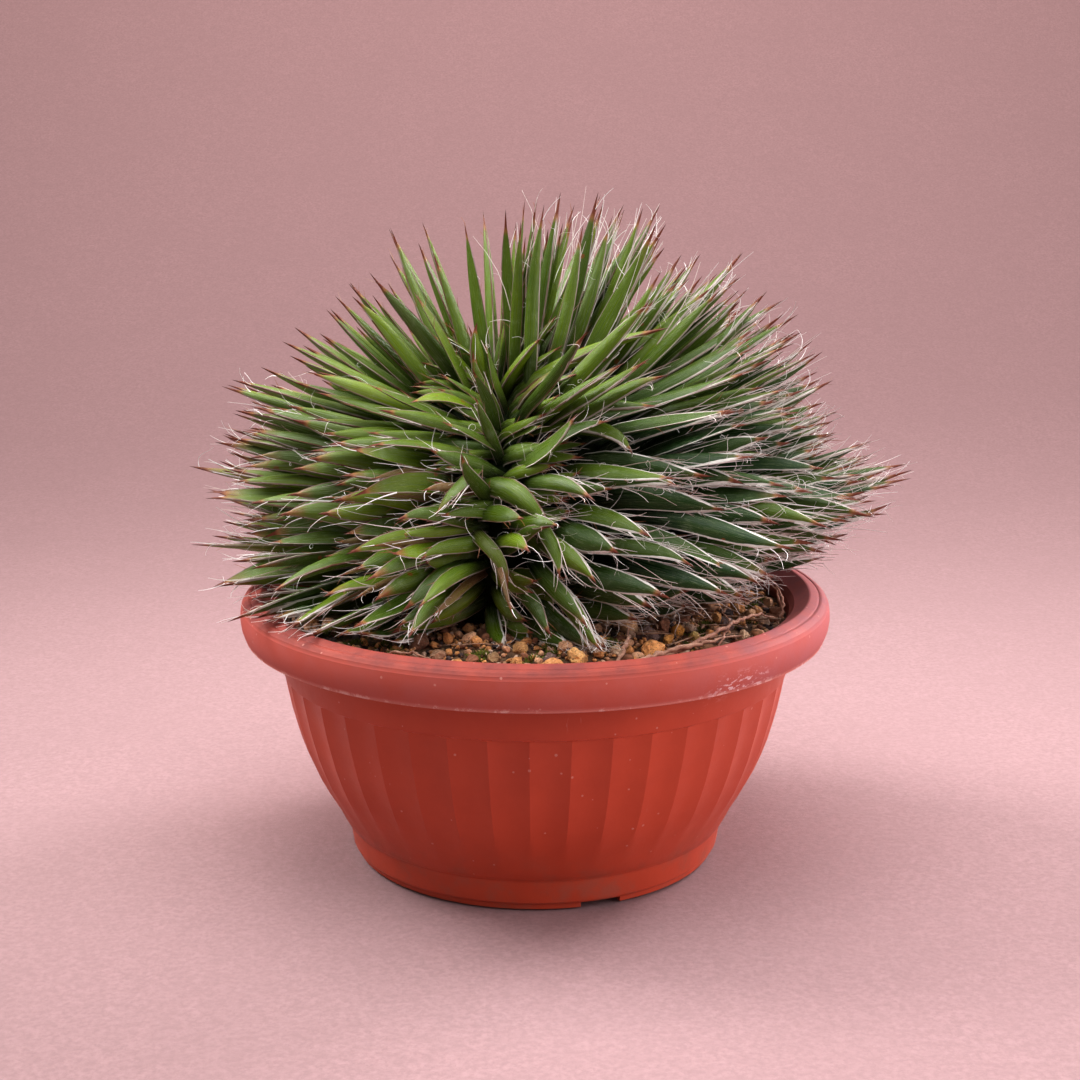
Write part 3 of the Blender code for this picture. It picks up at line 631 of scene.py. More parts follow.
def leafRule(i, count, seed, draw):
    height = 1.0 - (i + 0.5) / count * 1.34
    around = goldenTurn * i + seed * 0.37
    height = max(-0.36, min(0.995, height + draw.uniform(-0.02, 0.02)))
    around += draw.uniform(-0.05, 0.05)
    q = vec(*polar(sqrt(1.0 - height * height), around), height)
    off = q[0] - crestLine(q)
    side = 1.0 if off >= 0.0 else -1.0
    a = abs(off)
    n = outward(q)
    low = smoothStep(0.0, -0.35, q[2])
    top = smoothStep(0.30, 0.95, q[2])
    front = smoothStep(0.05, 0.60, -q[1])
    away = smoothStep(0.0, 0.45, a)
    fan = smoothStep(0.82, 0.92, q[2]) * smoothStep(-0.15, 0.20, -q[1]) * smoothStep(0.85, 0.10, a)
    # below the fan the leaves of the front stand level, and part to both sides
    level = smoothStep(0.0, 0.35, -q[1]) * (1.0 - fan)
    outer = unit(vec(n[0], n[1], n[2] * (1.0 - 0.62 * level)))
    lean = blend(blend(0.42, 0.16, top), blend(0.80, 0.42, top), away)
    lean = blend(lean, max(lean, blend(0.45, 0.70, away)), level)
    mid = smoothStep(0.80, 0.20, q[2])
    if side > 0.0:
        rise = blend(0.25, blend(-0.12, -0.34, front), mid * smoothStep(1.0, 0.2, a)) + 0.28 * low
        depth = 0.0
    else:
        rise = blend(0.22, 0.06, mid) - 0.50 * low
        flank = smoothStep(0.20, 0.45, q[2]) * smoothStep(0.86, 0.70, q[2]) * away
        lean = blend(lean, min(lean + 0.12, 0.86), flank)
        depth = -1.30 * smoothStep(0.15, -0.20, q[2]) * smoothStep(0.0, 0.50, -q[1])
    sweep = unit(vec(side, depth, rise))
    sweep = unit(blend(sweep, unit(vec(off * 0.9, 0.45, 0.85)), fan))
    lean = blend(lean, 0.62, fan)
    hang = low * front * smoothStep(0.42 if side > 0.0 else 0.45, 0.05, a)
    sweep = unit(blend(sweep, vec(0.30 * side, 0.0, -1.0), hang))
    lean = blend(lean, 0.74, hang)
    # neighbouring leaves stand together in loose tufts
    tuft = vec(sin(9.0 * q[1] + 5.0 * q[2] + 1.0), sin(8.0 * q[2] - 6.0 * q[0] + 2.0),
               sin(11.0 * q[0] + 7.0 * q[1] + 0.5))
    stray = randomWay(draw)
    start = unit(blend(outer, sweep, lean - 0.10 * (1.0 - top)) + tuft * 0.07 + stray * 0.07)
    length = blend(0.036, blend(0.060, 0.051, front), smoothStep(0.0, 0.7, a))
    length = blend(blend(length, 0.064, top), 0.062, fan)
    lowest = length * blend(0.76, 1.14, smoothStep(0.0, -0.4, q[0]) * front)
    length = blend(length, lowest, low) * draw.uniform(0.84, 1.12)
    # the tips bend on along the sweep at the front, and lift a little elsewhere
    bend = draw.uniform(0.3, 1.6)
    curl = blend(0.16, 0.05, top) * (-0.6 if low > 0.5 else 1.0)
    drop = front * (1.0 - top) * (1.0 - low)
    end = start + vec(0.0, 0.0, bend * curl * (1.0 - abs(start[2])) * (1.0 - drop))
    start = unit(start + vec(0.0, 0.0, 0.16) * drop)
    end = unit(end + (sweep * 0.35 + vec(0.0, 0.0, -0.55)) * drop * bend)
    tip = crest["radii"] * q + (start + end) * 0.5 * length
    turn = degrees(atan2(tip[2], tip[0]))
    length *= (1.0 - 0.17 * swell(turn, 137.0, 22.0) - 0.15 * swell(turn, 27.0, 14.0)
               + 0.08 * swell(turn, 8.0, 9.0))
    length *= 1.0 - 0.09 * swell(turn, 108.0, 18.0) + 0.03 * swell(turn, 76.0, 9.0)
    roll = draw.gauss(0.0, 0.24)
    face = facing(n, sweep, start, 0.35)
    across = np.cross(start, face)
    face = unit(face * cos(roll) + across * sin(roll))
    width = draw.uniform(0.84, 1.12) * blend(0.84, 1.0, smoothStep(0.03, 0.35, a))
    return {
        "base": crest["centre"] + crest["radii"] * q, "n": n, "d": start, "end": end, "face": face,
        "length": length, "width": width, "low": low, "side": side, "q": q, "dry": None,
    }


def leadingLeaf(foot, tip, bow, width, dry, shed):
    # through its foot and tip, with the middle bowed out
    x, z = foot[0] / 1000.0, foot[1] / 1000.0
    qx = (x - crest["centre"][0]) / crest["radii"][0]
    qz = (z - crest["centre"][2]) / crest["radii"][2]
    q = vec(qx, -sqrt(max(0.0, 1.0 - qx * qx - qz * qz)), qz)
    base = crest["centre"] + crest["radii"] * q
    reach = np.array(tip) / 1000.0 - base
    bow = np.array(bow) / 1000.0
    length = float(np.linalg.norm(reach))
    along = reach / length
    return {
        "base": base, "n": outward(q), "d": along + 4.0 * bow / length, "end": along - 4.0 * bow / length,
        "face": facing(outward(q), along, along, 0.5), "length": length, "width": width, "low": 0.0,
        "side": 1.0 if reach[0] >= 0.0 else -1.0, "q": q, "dry": dry, "shed": shed,
    }


def youngLeaf(i, count, draw):
    # the newest leaves stand close along the growing line and point nearly straight out
    turn = -0.95 + 2.90 * (i + draw.uniform(0.3, 0.7)) / count
    side = 1.0 if i % 2 else -1.0
    q = onCrest(growingLine(turn) + side * draw.uniform(0.0, 0.075), turn)
    n = outward(q)
    sweep = unit(vec(side, 0.0, draw.uniform(-0.5, 0.5)))
    stray = randomWay(draw) * 0.10
    later = smoothStep(-0.1, 0.5, turn)
    start = unit(blend(n, sweep, draw.uniform(0.08, 0.42) + 0.26 * later) + stray)
    end = unit(start + sweep * (draw.uniform(0.2, 0.6) + 0.4 * later) + vec(0.0, 0.0, -0.15))
    return {
        "base": crest["centre"] + crest["radii"] * q * 0.985, "n": n, "d": start, "end": end,
        "face": facing(n, sweep, start, 0.2), "length": draw.uniform(0.020, 0.034),
        "width": draw.uniform(0.60, 0.90), "low": 0.0, "side": side, "q": q, "dry": None,
    }


def heartLeaf(i, count, draw):
    # a short slim leaf of the heart, swept to one side or now and then upwards
    leaf = youngLeaf(i, count, draw)
    turn = 0.10 + 1.25 * (i + draw.random()) / count
    q = onCrest(growingLine(turn) + draw.uniform(-0.055, 0.055), turn)
    leaf["q"], leaf["n"] = q, outward(q)
    leaf["base"] = crest["centre"] + crest["radii"] * q * 0.98
    leaf["length"] = draw.uniform(0.019, 0.031)
    leaf["width"] = draw.uniform(0.50, 0.74)
    if i % 6 == 0:
        sweep = unit(vec(leaf["side"] * draw.uniform(0.1, 0.5), 0.0, 1.0))
    else:
        sweep = unit(vec(leaf["side"], 0.0, draw.uniform(-0.45, 0.25)))
    leaf["d"] = unit(blend(leaf["n"], sweep, draw.uniform(0.35, 0.62)))
    leaf["end"] = unit(leaf["d"] + sweep * draw.uniform(0.5, 1.0) + vec(0.0, 0.0, -0.2))
    leaf["face"] = facing(leaf["n"], sweep, leaf["d"], 0.35)
    return leaf


def leafPoint(leaf, t):
    run = leaf["d"] * t + (leaf["end"] - leaf["d"]) * 0.5 * t * t
    return leaf["base"] + leaf["length"] * run


def clearHeight(r):
    ground = crest["mixTop"] + crest["relief"] + crest["overMix"]
    stones = crest["stoneTop"] + crest["overStones"]
    over = blend(ground, stones, smoothStep(*crest["stonesFrom"], r))
    return over + crest["overLip"] * smoothStep(*crest["lipFrom"], r)


def openFront(q):
    # at the front right the lowest leaves stay short, so that the mix shows under them
    return smoothStep(0.0, 0.20, q[0]) * smoothStep(0.05, 0.35, -q[1]) * smoothStep(0.02, -0.16, q[2])


def shedding(leaf):
    # how freely a leaf sheds its edge in white threads: most at the right and low down, least on top
    q = leaf["q"]
    free = 0.13 + 0.72 * smoothStep(-0.32, 0.20, q[0]) + 0.60 * leaf["low"]
    free *= (1.0 - 0.42 * smoothStep(0.35, 0.85, q[0])) * (1.0 - 0.35 * smoothStep(0.0, 0.6, q[1]))
    return min(1.0, free * (1.0 - 0.62 * smoothStep(0.50, 0.90, q[2])))


def leafSet():
    kept = []
    lines = []

    def offer(leaf, gap):
        line = np.array([leafPoint(leaf, t) for t in crest["marks"]])
        if lines and np.linalg.norm(line[None, :, None] - np.array(lines)[:, None], axis=3).min() < gap:
            return
        leaf["seed"] = (len(kept) * 0.6180339) % 1.0
        kept.append(leaf)
        lines.append(line)

    for row in leading.values():
        offer(leadingLeaf(*row), 0.0)
    count, seed, gap = crest["rule"]
    draw = random.Random(seed)
    for i in range(count):
        leaf = leafRule(i, count, seed, draw)
        leaf["length"] *= 1.0 - 0.34 * openFront(leaf["q"])
        offer(leaf, gap)
    count, seed, gap = crest["young"]
    draw = random.Random(seed)
    for i in range(count):
        offer(youngLeaf(i, count, draw), gap)
    print("leaves as in the solids:", len(kept))
    count, seed = crest["more"]
    draw = random.Random(seed)
    for i in range(count):
        leaf = leafRule(i, count, seed, draw)
        if openFront(leaf["q"]) < 0.4:
            offer(leaf, blend(*crest["moreGaps"], smoothStep(0.05, 0.60, -leaf["q"][1])))
    count, seed, gap = crest["moreYoung"]
    draw = random.Random(seed)
    for i in range(count):
        offer(youngLeaf(i, count, draw), gap)
    count, gap = crest["heart"]
    for i in range(count):
        offer(heartLeaf(i, count, draw), gap)
    # slim dead leaves between the others, in a patch at the middle of the left flank
    count, seed, gap = crest["dead"]
    draw = random.Random(seed)
    for i in range(count):
        leaf = leafRule(i, count, seed, draw)
        q = leaf["q"]
        if -0.70 < q[0] < -0.25 and -0.14 < q[2] < 0.56 and q[1] < -0.15:
            leaf["width"] = draw.uniform(0.36, 0.58)
            leaf["length"] *= draw.uniform(0.72, 0.98)
            leaf["dry"] = draw.uniform(0.90, 1.0)
            offer(leaf, gap)
    for leaf in kept:
        tip = leafPoint(leaf, 1.0) - crest["centre"]
        turn = degrees(atan2(tip[2], tip[0]))
        leaf["length"] *= 1.0 - 0.09 * swell(turn, 57.0, 12.0) + 0.06 * swell(turn, 127.0, 12.0)
        # some tufts stand out further than others, but for the leading leaves
        if "shed" not in leaf:
            rim = smoothStep(0.55, 0.90, hypot(tip[0], tip[2]) / float(np.linalg.norm(tip)))
            further = sum(by * swell(turn, middle, spread) for middle, spread, by in tuftReach)
            grain = noise.noise(Vector(unit(tip) * crest["tuftGrain"]))
            leaf["length"] *= 1.0 + rim * further + crest["tufts"] * grain
    return kept


leafLook = {
    # how far along, how wide, how deep: root, full middle, quick taper, foot of the spine, tip
    "rows": [(0.0, 0.74, 1.05), (0.11, 0.86, 1.10), (0.25, 0.96, 1.08), (0.41, 1.0, 1.0),
             (0.56, 0.93, 0.88), (0.69, 0.77, 0.72), (0.79, 0.56, 0.54), (0.86, 0.34, 0.37),
             (0.90, 0.18, 0.25), (0.95, 0.10, 0.15)],
    # across and deep, from the left edge over the upper face to the right edge and round the keel
    "section": [(-1.0, 0.0), (-0.80, 0.34), (-0.42, 0.72), (0.0, 0.86), (0.42, 0.72), (0.80, 0.34),
                (1.0, 0.0), (0.66, -0.62), (0.0, -1.0), (-0.66, -0.62)],
}


leafColours = {
    "bright": (0.195, 0.285, 0.007), "deep": (0.013, 0.052, 0.012), "streak": (0.026, 0.080, 0.003),
    # the root colour is a painted shade for the leaf bases
    "root": (0.004, 0.010, 0.002), "shade": (0.016, 0.052, 0.006), "ageing": (0.22, 0.19, 0.02),
    "straw": (0.36, 0.25, 0.13), "brown": (0.15, 0.050, 0.018), "print": (0.42, 0.48, 0.26),
    "edgePale": (0.88, 0.87, 0.83), "edgeBrown": (0.13, 0.038, 0.014), "spineFoot": (0.34, 0.135, 0.048),
    "spine": (0.17, 0.038, 0.016), "point": (0.06, 0.022, 0.016), "scorch": (0.25, 0.072, 0.018),
    # the last colour here is a painted sheen for the upper left leaves
    "bloom": (0.42, 0.50, 0.36), "upperLeftSheen": (0.48, 0.60, 0.34),
}


def modelLeaf():
    # one straight leaf along Y, one long and one wide each way: a ring drawn out row by row to its point
    deselectAll()
    rows = leafLook["rows"]
    bpy.ops.mesh.primitive_circle_add(vertices=len(leafLook["section"]), radius=1.0, fill_type="NGON")
    leaf = bpy.context.object
    t, wide, deep = rows[0]
    for vert, (x, z) in zip(leaf.data.vertices, leafLook["section"]):
        vert.co = (x * wide, t, z * deep)
    editMesh()
    for newT, newWide, newDeep in rows[1:]:
        extrude(newT - t)
        bpy.ops.transform.resize(value=(newWide / wide, 1, newDeep / deep), center_override=(0, newT, 0))
        t, wide, deep = newT, newWide, newDeep
    extrude(1.0 - t)
    closeMesh()
    verts = np.array([tuple(v.co) for v in leaf.data.vertices])
    tip = int(np.argmax(verts[:, 1]))
    verts[tip] = (0.0, 1.0, -0.03)
    widths = np.interp(verts[:, 1], [r[0] for r in rows] + [1.0], [r[1] for r in rows] + [1e-6])
    faces = []
    uvs = []
    for poly in leaf.data.polygons:
        upper = poly.normal.z > 0.2
        faces.append(list(poly.vertices))
        for index in poly.vertices:
            x = 0.0 if index == tip else float(np.clip(verts[index, 0] / widths[index], -1, 1))
            u = 0.5 + 0.5 * x if upper else 1.5 - 0.5 * x
            uvs.append((u, float(verts[index, 1])))
    bpy.data.objects.remove(leaf, do_unlink=True)
    return verts, faces, uvs


def leafFrame(leaf, t):
    # centre, along, across and face at each of the heights in t
    t = np.asarray(t)[:, None]
    centre = leafPoint(leaf, t) - leaf["n"] * (crest["root"] * 0.7) * np.clip(1.0 - t / 0.13, 0.0, 1.0)
    wave = np.sin(t * 5.0 + leaf["seed"] * 6.28) - sin(leaf["seed"] * 6.28)
    along = leaf["d"] * (1.0 - t) + leaf["end"] * t
    along /= np.linalg.norm(along, axis=1)[:, None]
    turn = leaf["twist"] * t
    face = leaf["face"] - along * (along @ leaf["face"])[:, None]
    face /= np.linalg.norm(face, axis=1)[:, None]
    face = face * np.cos(turn) + np.cross(along, face) * np.sin(turn)
    across = np.cross(along, face)
    return centre + across * wave * leaf["wave"] * t, along, across, face


def leafHalf(leaf):
    # the leaves that face the front are the broadest, and those of the fan on top the slimmest
    q = leaf["q"]
    broad = blend(0.92, 0.97, smoothStep(0.10, 0.60, -q[1])) - 0.14 * smoothStep(0.72, 0.92, q[2])
    return crest["halfWidth"] * leaf["width"] * broad


def shapeLeaf(leaf, template):
    t = template[:, 1]
    centre, _, across, face = leafFrame(leaf, t)
    half = leafHalf(leaf)
    keel = crest["keel"] * leaf["width"]
    deep = np.where(template[:, 2] > 0.0, template[:, 2] * leaf["crown"], template[:, 2])
    points = centre + across * (template[:, 0] * half)[:, None] + face * (deep * keel)[:, None]
    # kept above the stones and the lip, row by row
    rows = sorted(set(np.round(t, 4)))
    need = []
    for row in rows:
        group = points[np.abs(t - row) < 0.0002]
        if row < 0.1:
            need.append(0.0)
            continue
        short = [clearHeight(hypot(p[0], p[1])) - p[2] for p in group
                 if hypot(p[0], p[1]) > crest["bare"]]
        need.append(max([0.0] + short))
    for k in range(1, len(rows)):
        need[k] = max(need[k], need[k - 1] * 0.75)
    for k in range(len(rows) - 2, 0, -1):
        need[k] = max(need[k], need[k + 1] * 0.6)
    points[:, 2] += np.interp(t, rows, need)
    leaf["lift"] = (rows, need)
    return points


def leafTraits(leaf, draw):
    # tint from yellow green to blue green, dryness, a number of its own, and how much it frays
    q = leaf["q"]
    tint = 0.26 + 0.60 * smoothStep(-0.35, 0.30, q[0]) * smoothStep(0.98, 0.60, q[2])
    tint += draw.uniform(-0.24, 0.24) + 0.25 * leaf["low"]
    dry = 0.16 + 0.30 * leaf["low"] + draw.uniform(-0.1, 0.25)
    # old tips stand in a patch at the middle of the left flank
    patch = smoothStep(-0.22, -0.42, q[0]) * smoothStep(-0.20, 0.02, q[2]) * smoothStep(0.68, 0.45, q[2])
    if draw.random() < 0.80 * patch:
        dry = draw.uniform(0.40, 0.60)
    if leaf["dry"] is not None:
        dry = leaf["dry"]
    return (min(1.0, max(0.0, tint)), min(1.0, max(0.0, dry)), leaf["seed"], shedding(leaf))


def growLeaves(name, leaves, template):
    verts, faces, uvs = template
    draw = random.Random(crest["toneSeed"])
    bodies = [(shapeLeaf(leaf, verts), faces, leafTraits(leaf, draw), *uvs) for leaf in leaves]
    return gather(name, bodies, "leafTraits", 48)


def leafSkin():
    mat, place = newSkin("agaveLeaf")
    hue = leafColours
    u, v, _ = separated(addNode(mat.node_tree, "ShaderNodeUVMap", uv_map="leafMap").outputs[0])
    traits = attributeNode(mat, "leafTraits")
    tint, dry, own = separated(traits["Color"], "Color")
    frayed = traits["Alpha"]
    # how far a spot lies from the leaf's edge, 0 at the edge and 0.5 on the midline
    toEdge = mathsNode("PINGPONG", u, 0.5)
    values = {0: times(u, 9.0), 1: times(v, 1.6), 2: times(own, 57.0)}
    lengthways = addNode(mat.node_tree, "ShaderNodeCombineXYZ", values).outputs[0]
    streak = noiseNode(lengthways, 2.0, 4.0, 0.6)
    finer = noiseNode(lengthways, 9.0, 3.0, 0.6)
    cloud = times(minus(noiseNode(place, 55.0, 3.0), 0.5), 0.5)
    green = mixColour(plus(tint, cloud, clamp=True), hue["bright"], hue["deep"])
    green = mixColour(rangeNode(streak, 0.35, 0.75, 0.0, 0.55), green, hue["streak"])
    # no two leaves are equally dark
    shade = rangeNode(mathsNode("PINGPONG", times(own, 7.3), 1.0), 0.35, 1.0, 0.0, 0.50)
    green = mixColour(shade, green, hue["shade"])
    # painted shade darkens each leaf towards its root; yellower towards the tip
    green = mixColour(rangeNode(v, 0.46, 0.05, 0.0, 0.92), green, hue["root"])
    green = mixColour(times(rangeNode(v, 0.76, 0.93, 0.0, 0.75), dry), green, hue["ageing"])
    # old tips are scorched brown, in streaks
    scorch = times(rangeNode(v, 0.74, 0.87), rangeNode(dry, 0.32, 0.58))
    scorch = times(scorch, rangeNode(streak, 0.40, 0.52, 0.10, 1.0))
    green = mixColour(scorch, green, hue["scorch"])
    # the driest leaves have gone straw coloured and brown in streaks
    withered = times(rangeNode(dry, 0.62, 0.95), rangeNode(streak, 0.30, 0.60, 0.35, 1.0))
    browner = plus(rangeNode(finer, 0.4, 0.6), rangeNode(dry, 0.84, 0.94, 0.0, 0.55), clamp=True)
    green = mixColour(withered, green, mixColour(browner, hue["straw"], hue["brown"]))
    # prints of neighbouring leaves: thin pale lines
    prints = times(rangeNode(finer, 0.57, 0.65), rangeNode(streak, 0.42, 0.55))
    green = mixColour(times(prints, 0.45), green, hue["print"])
    # small brown scars and a thin dusty bloom
    scars = placeGroup(speckGroup, {"Vector": place, "Scale": 260.0, "Share": 0.050})["Mask"]
    green = mixColour(times(scars, 0.75), green, hue["scorch"])
    bloom = rangeNode(noiseNode(place, 150.0, 4.0, 0.65), 0.56, 0.74, 0.0, 0.16)
    green = mixColour(bloom, green, hue["bloom"])
    # painted sheen makes the leaves of the upper left paler, most towards their tips
    x, y, z = separated(place)
    paintedSheen = times(rangeNode(x, -0.022, -0.070), rangeNode(z, 0.100, 0.128))
    paintedSheen = times(paintedSheen, rangeNode(y, -0.058, -0.020, 0.35, 1.0))
    paintedSheen = times(paintedSheen, rangeNode(streak, 0.42, 0.64, 0.03, 0.30))
    paintedSheen = times(paintedSheen, rangeNode(v, 0.25, 0.65, 0.4, 1.0))
    green = mixColour(paintedSheen, green, hue["upperLeftSheen"])
    # horny edge: whitish where it frays, red brown elsewhere, and wider near the tip
    ragged = times(minus(finer, 0.5), 0.07)
    wider = times(rangeNode(v, 0.60, 0.90, 0.0, 0.15), plus(frayed, 0.25))
    nearness = plus(plus(toEdge, ragged), times(minus(1.0, frayed), 0.014))
    edgeMask = rangeNode(minus(nearness, wider), 0.070, 0.044)
    whiteness = plus(frayed, times(minus(streak, 0.45), 1.8), clamp=True)
    colour = mixColour(edgeMask, green, mixColour(whiteness, hue["edgeBrown"], hue["edgePale"]))
    # the spine: tan at its foot, red brown, dark at its point
    foot = plus(v, times(minus(own, 0.5), 0.04))
    colour = mixColour(rangeNode(foot, 0.860, 0.900, 0.0, 0.8), colour, hue["spineFoot"])
    colour = mixColour(rangeNode(foot, 0.885, 0.925), colour, hue["spine"])
    colour = mixColour(rangeNode(v, 0.945, 0.985, 0.0, 0.8), colour, hue["point"])
    rough = plus(rangeNode(streak, 0.3, 0.7, 0.25, 0.37), times(edgeMask, 0.25))
    return finishSkin(mat, colour, rough, (plus(finer, times(edgeMask, 0.8)), 0.40, 0.0003), 0.42)


stemLook = {"cut": 0.0887, "sunk": 0.0012, "rough": ((160.0, 0.0010), (60.0, 0.0012)),
            "stalkRadius": 0.0239, "stalkLength": 0.045, "stalkMiddle": 0.0730}


def makeStem():
    deselectAll()
    bpy.ops.mesh.primitive_uv_sphere_add(segments=64, ring_count=40, radius=1.0)
    stem = bpy.context.object
    stem.name = "crestStem"
    stem.scale = crest["radii"]
    stem.location = crest["centre"]
    bpy.ops.object.transform_apply(location=True, rotation=True, scale=True)
    for vert in stem.data.vertices:
        rough = sum(noise.noise(vert.co * often) * high for often, high in stemLook["rough"])
        away = (vert.co - Vector(crest["centre"])).normalized()
        vert.co += away * (rough - stemLook["sunk"])
    editMesh()
    bpy.ops.mesh.bisect(plane_co=(0, 0, stemLook["cut"]), plane_no=(0, 0, -1), use_fill=True,
                        clear_outer=True)
    deselectAll()
    bpy.ops.mesh.primitive_cylinder_add(vertices=48, radius=stemLook["stalkRadius"],
                                        depth=stemLook["stalkLength"],
                                        location=(0, 0, stemLook["stalkMiddle"]))
    cutWith(stem, bpy.context.object, "UNION")
    shadeSmooth(stem, 40)
    # the stem is painted nearly black, as painted shade deep among the leaf bases
    mat, place = newSkin("stemPaintedShade")
    colour = mottled(place, 120.0, 0.9, (0.010, 0.018, 0.005), (0.003, 0.004, 0.002))
    dress(stem, finishSkin(mat, colour, 0.9, (noiseNode(place, 400.0, 4.0), 0.5, 0.0008), 0.08))
    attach(stem, "root")
    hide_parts("crested_agave")


makeStem()
template = modelLeaf()
leaves = leafSet()
leafMaterial = leafSkin()
draw = random.Random(crest["shapeSeed"])
for leaf in leaves:
    leaf["twist"] = draw.gauss(0.0, crest["twist"])
    leaf["wave"] = draw.uniform(-crest["wave"], crest["wave"])
    leaf["crown"] = draw.uniform(0.55, 1.30) if draw.random() < 0.88 else draw.uniform(-0.30, 0.30)
leftLeaves = [leaf for leaf in leaves if leaf["side"] < 0]
rightLeaves = [leaf for leaf in leaves if leaf["side"] > 0]
for pieceName, chosen in (("leavesLeft", leftLeaves), ("leavesRight", rightLeaves)):
    piece = growLeaves(pieceName, chosen, template)
    dress(piece, leafMaterial)
    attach(piece, "root")
    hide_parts("crested_agave")
    print(pieceName, len(chosen), "leaves,", len(piece.data.polygons), "faces")


# the threads that the leaf edges shed

threadLook = {"thick": 0.00012, "thinning": 0.72, "longest": 0.012, "seed": 31}
# kinds of thread: how many, where along the leaf, how far ahead, aside and up they set off, how long, curled
# and thick they are, and how brown they may be
threadKinds = {
    "curled": {"many": 9, "where": (0.22, 0.93), "ahead": (0.2, 1.1), "aside": (0.2, 0.9), "up": (-0.1, 0.5),
               "length": (0.25, 1.0), "curl": (1.0, 7.0), "points": 7, "inset": 0.0002, "thick": (0.6, 1.15),
               "brown": 0.5},
    # strips of the edge that came away near the tip and run on beside it
    "strip": {"many": 6, "where": (0.45, 0.86), "ahead": None, "aside": (-0.08, 0.22), "up": (-0.05, 0.18),
              "length": (0.86, 1.06), "curl": (-0.7, 0.7), "points": 5, "inset": 0.0, "thick": (1.2, 2.4),
              "brown": 0.6},
    # strips that start near the tip and splay out past it
    "tip": {"many": 6, "where": (0.78, 0.93), "ahead": None, "aside": (-0.05, 0.40), "up": (-0.15, 0.30),
            "length": (0.004, 0.010), "curl": (-1.6, 1.6), "points": 5, "inset": 0.0, "thick": (0.9, 1.7),
            "brown": 0.4},
    # short bristles, which stand on every leaf
    "bristle": {"many": 4, "where": (0.30, 0.96), "ahead": (0.7, 1.3), "aside": (0.1, 0.6), "up": (-0.1, 0.3),
                "length": (0.0015, 0.005), "curl": (-0.8, 0.8), "points": 3, "inset": 0.0002,
                "thick": (0.7, 1.3), "brown": 1.0},
}


def marginPoint(leaf, t, side):
    centre, along, across, face = leafFrame(leaf, [t])
    rows = leafLook["rows"]
    wide = float(np.interp(t, [r[0] for r in rows] + [1.0], [r[1] for r in rows] + [0.0]))
    point = centre[0] + across[0] * side * wide * leafHalf(leaf)
    point[2] += float(np.interp(t, *leaf["lift"]))
    return point, along[0], across[0], face[0]


def threadPath(start, heading, length, curl, draw, count):
    # a thread that curls as it goes, by turning its heading about a slowly drifting axis
    points = [start]
    axis = unit(randomWay(draw))
    for k in range(count - 1):
        turn = curl / (count - 1) * draw.uniform(0.6, 1.4)
        across = np.cross(axis, heading)
        heading = unit(heading * cos(turn) + across * sin(turn)
                       + axis * float(np.dot(axis, heading)) * (1 - cos(turn)))
        axis = unit(axis + randomWay(draw) * 0.25)
        points.append(points[-1] + heading * (length / (count - 1)))
    return [settle(point) for point in points]


def settle(point):
    point = point.copy()
    r = hypot(point[0], point[1])
    floor = clearHeight(r) if r < crest["lipEnds"] else crest["lowest"]
    if point[2] < floor:
        point[2] = floor
    return point


def growThread(kind, leaf, free, draw):
    look = threadKinds[kind]
    t = draw.uniform(*look["where"])
    if kind == "curled":
        t = t ** 0.8
    side = draw.choice((-1.0, 1.0))
    point, along, across, face = marginPoint(leaf, t, side)
    ahead = draw.uniform(*look["ahead"]) if look["ahead"] else 1.0
    outwards = across * side
    heading = unit(along * ahead + outwards * draw.uniform(*look["aside"]) + face * draw.uniform(*look["up"]))
    length = draw.uniform(*look["length"])
    curl = draw.uniform(*look["curl"])
    if kind == "curled":
        length = threadLook["longest"] * length ** 1.5
        curl *= draw.choice((-1, 1))
    if kind == "strip":
        length = max(0.003, leaf["length"] * (length - t))
    count = look["points"]
    path = threadPath(point - outwards * look["inset"], heading, length, curl, draw, count)
    thick = threadLook["thick"] * draw.uniform(*look["thick"])
    radii = [thick * (1.0 - threadLook["thinning"] * k / (count - 1)) for k in range(count)]
    own = draw.random() * look["brown"]
    if kind == "bristle":
        own = min(1.0, own + 0.8 * max(0.0, 1.0 - free))
    body, faces = rodAlong(path, radii, 3, aside=(0.31, 0.52, 0.80))
    return body, faces, [(own, k / (count - 1), 0.0, 1.0) for k in range(count) for j in range(3)]


def makeThreads(name, chosen, draw):
    bodies = []
    for leaf in chosen:
        free = shedding(leaf) * leaf.get("shed", 1.0)
        for kind, look in threadKinds.items():
            many = look["many"] if kind == "bristle" else round(look["many"] * free)
            bodies += [growThread(kind, leaf, free, draw) for k in range(many)]
    return gather(name, bodies, "threadTraits", 80)


def threadFibre():
    mat, place = newSkin("leafThread")
    brown, along, _ = separated(attributeNode(mat, "threadTraits")["Color"], "Color")
    colour = mixColour(brown, (0.97, 0.98, 0.98), (0.32, 0.13, 0.06))
    dusty = rangeNode(noiseNode(place, 300.0, 3.0), 0.56, 0.80, 0.0, 0.4)
    colour = mixColour(dusty, colour, (0.55, 0.44, 0.34))
    return finishSkin(mat, colour, rangeNode(along, 0.0, 1.0, 0.45, 0.7))


threadMaterial = threadFibre()
draw = random.Random(threadLook["seed"])
for pieceName, chosen in (("leafThreadsLeft", leftLeaves), ("leafThreadsRight", rightLeaves)):
    piece = makeThreads(pieceName, chosen, draw)
    dress(piece, threadMaterial)
    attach(piece, "root")
    print(pieceName, len(piece.data.polygons), "faces")


# the potting mix: a crumbly bed heaped a little in the open crescent, with grit, dried roots, litter and moss

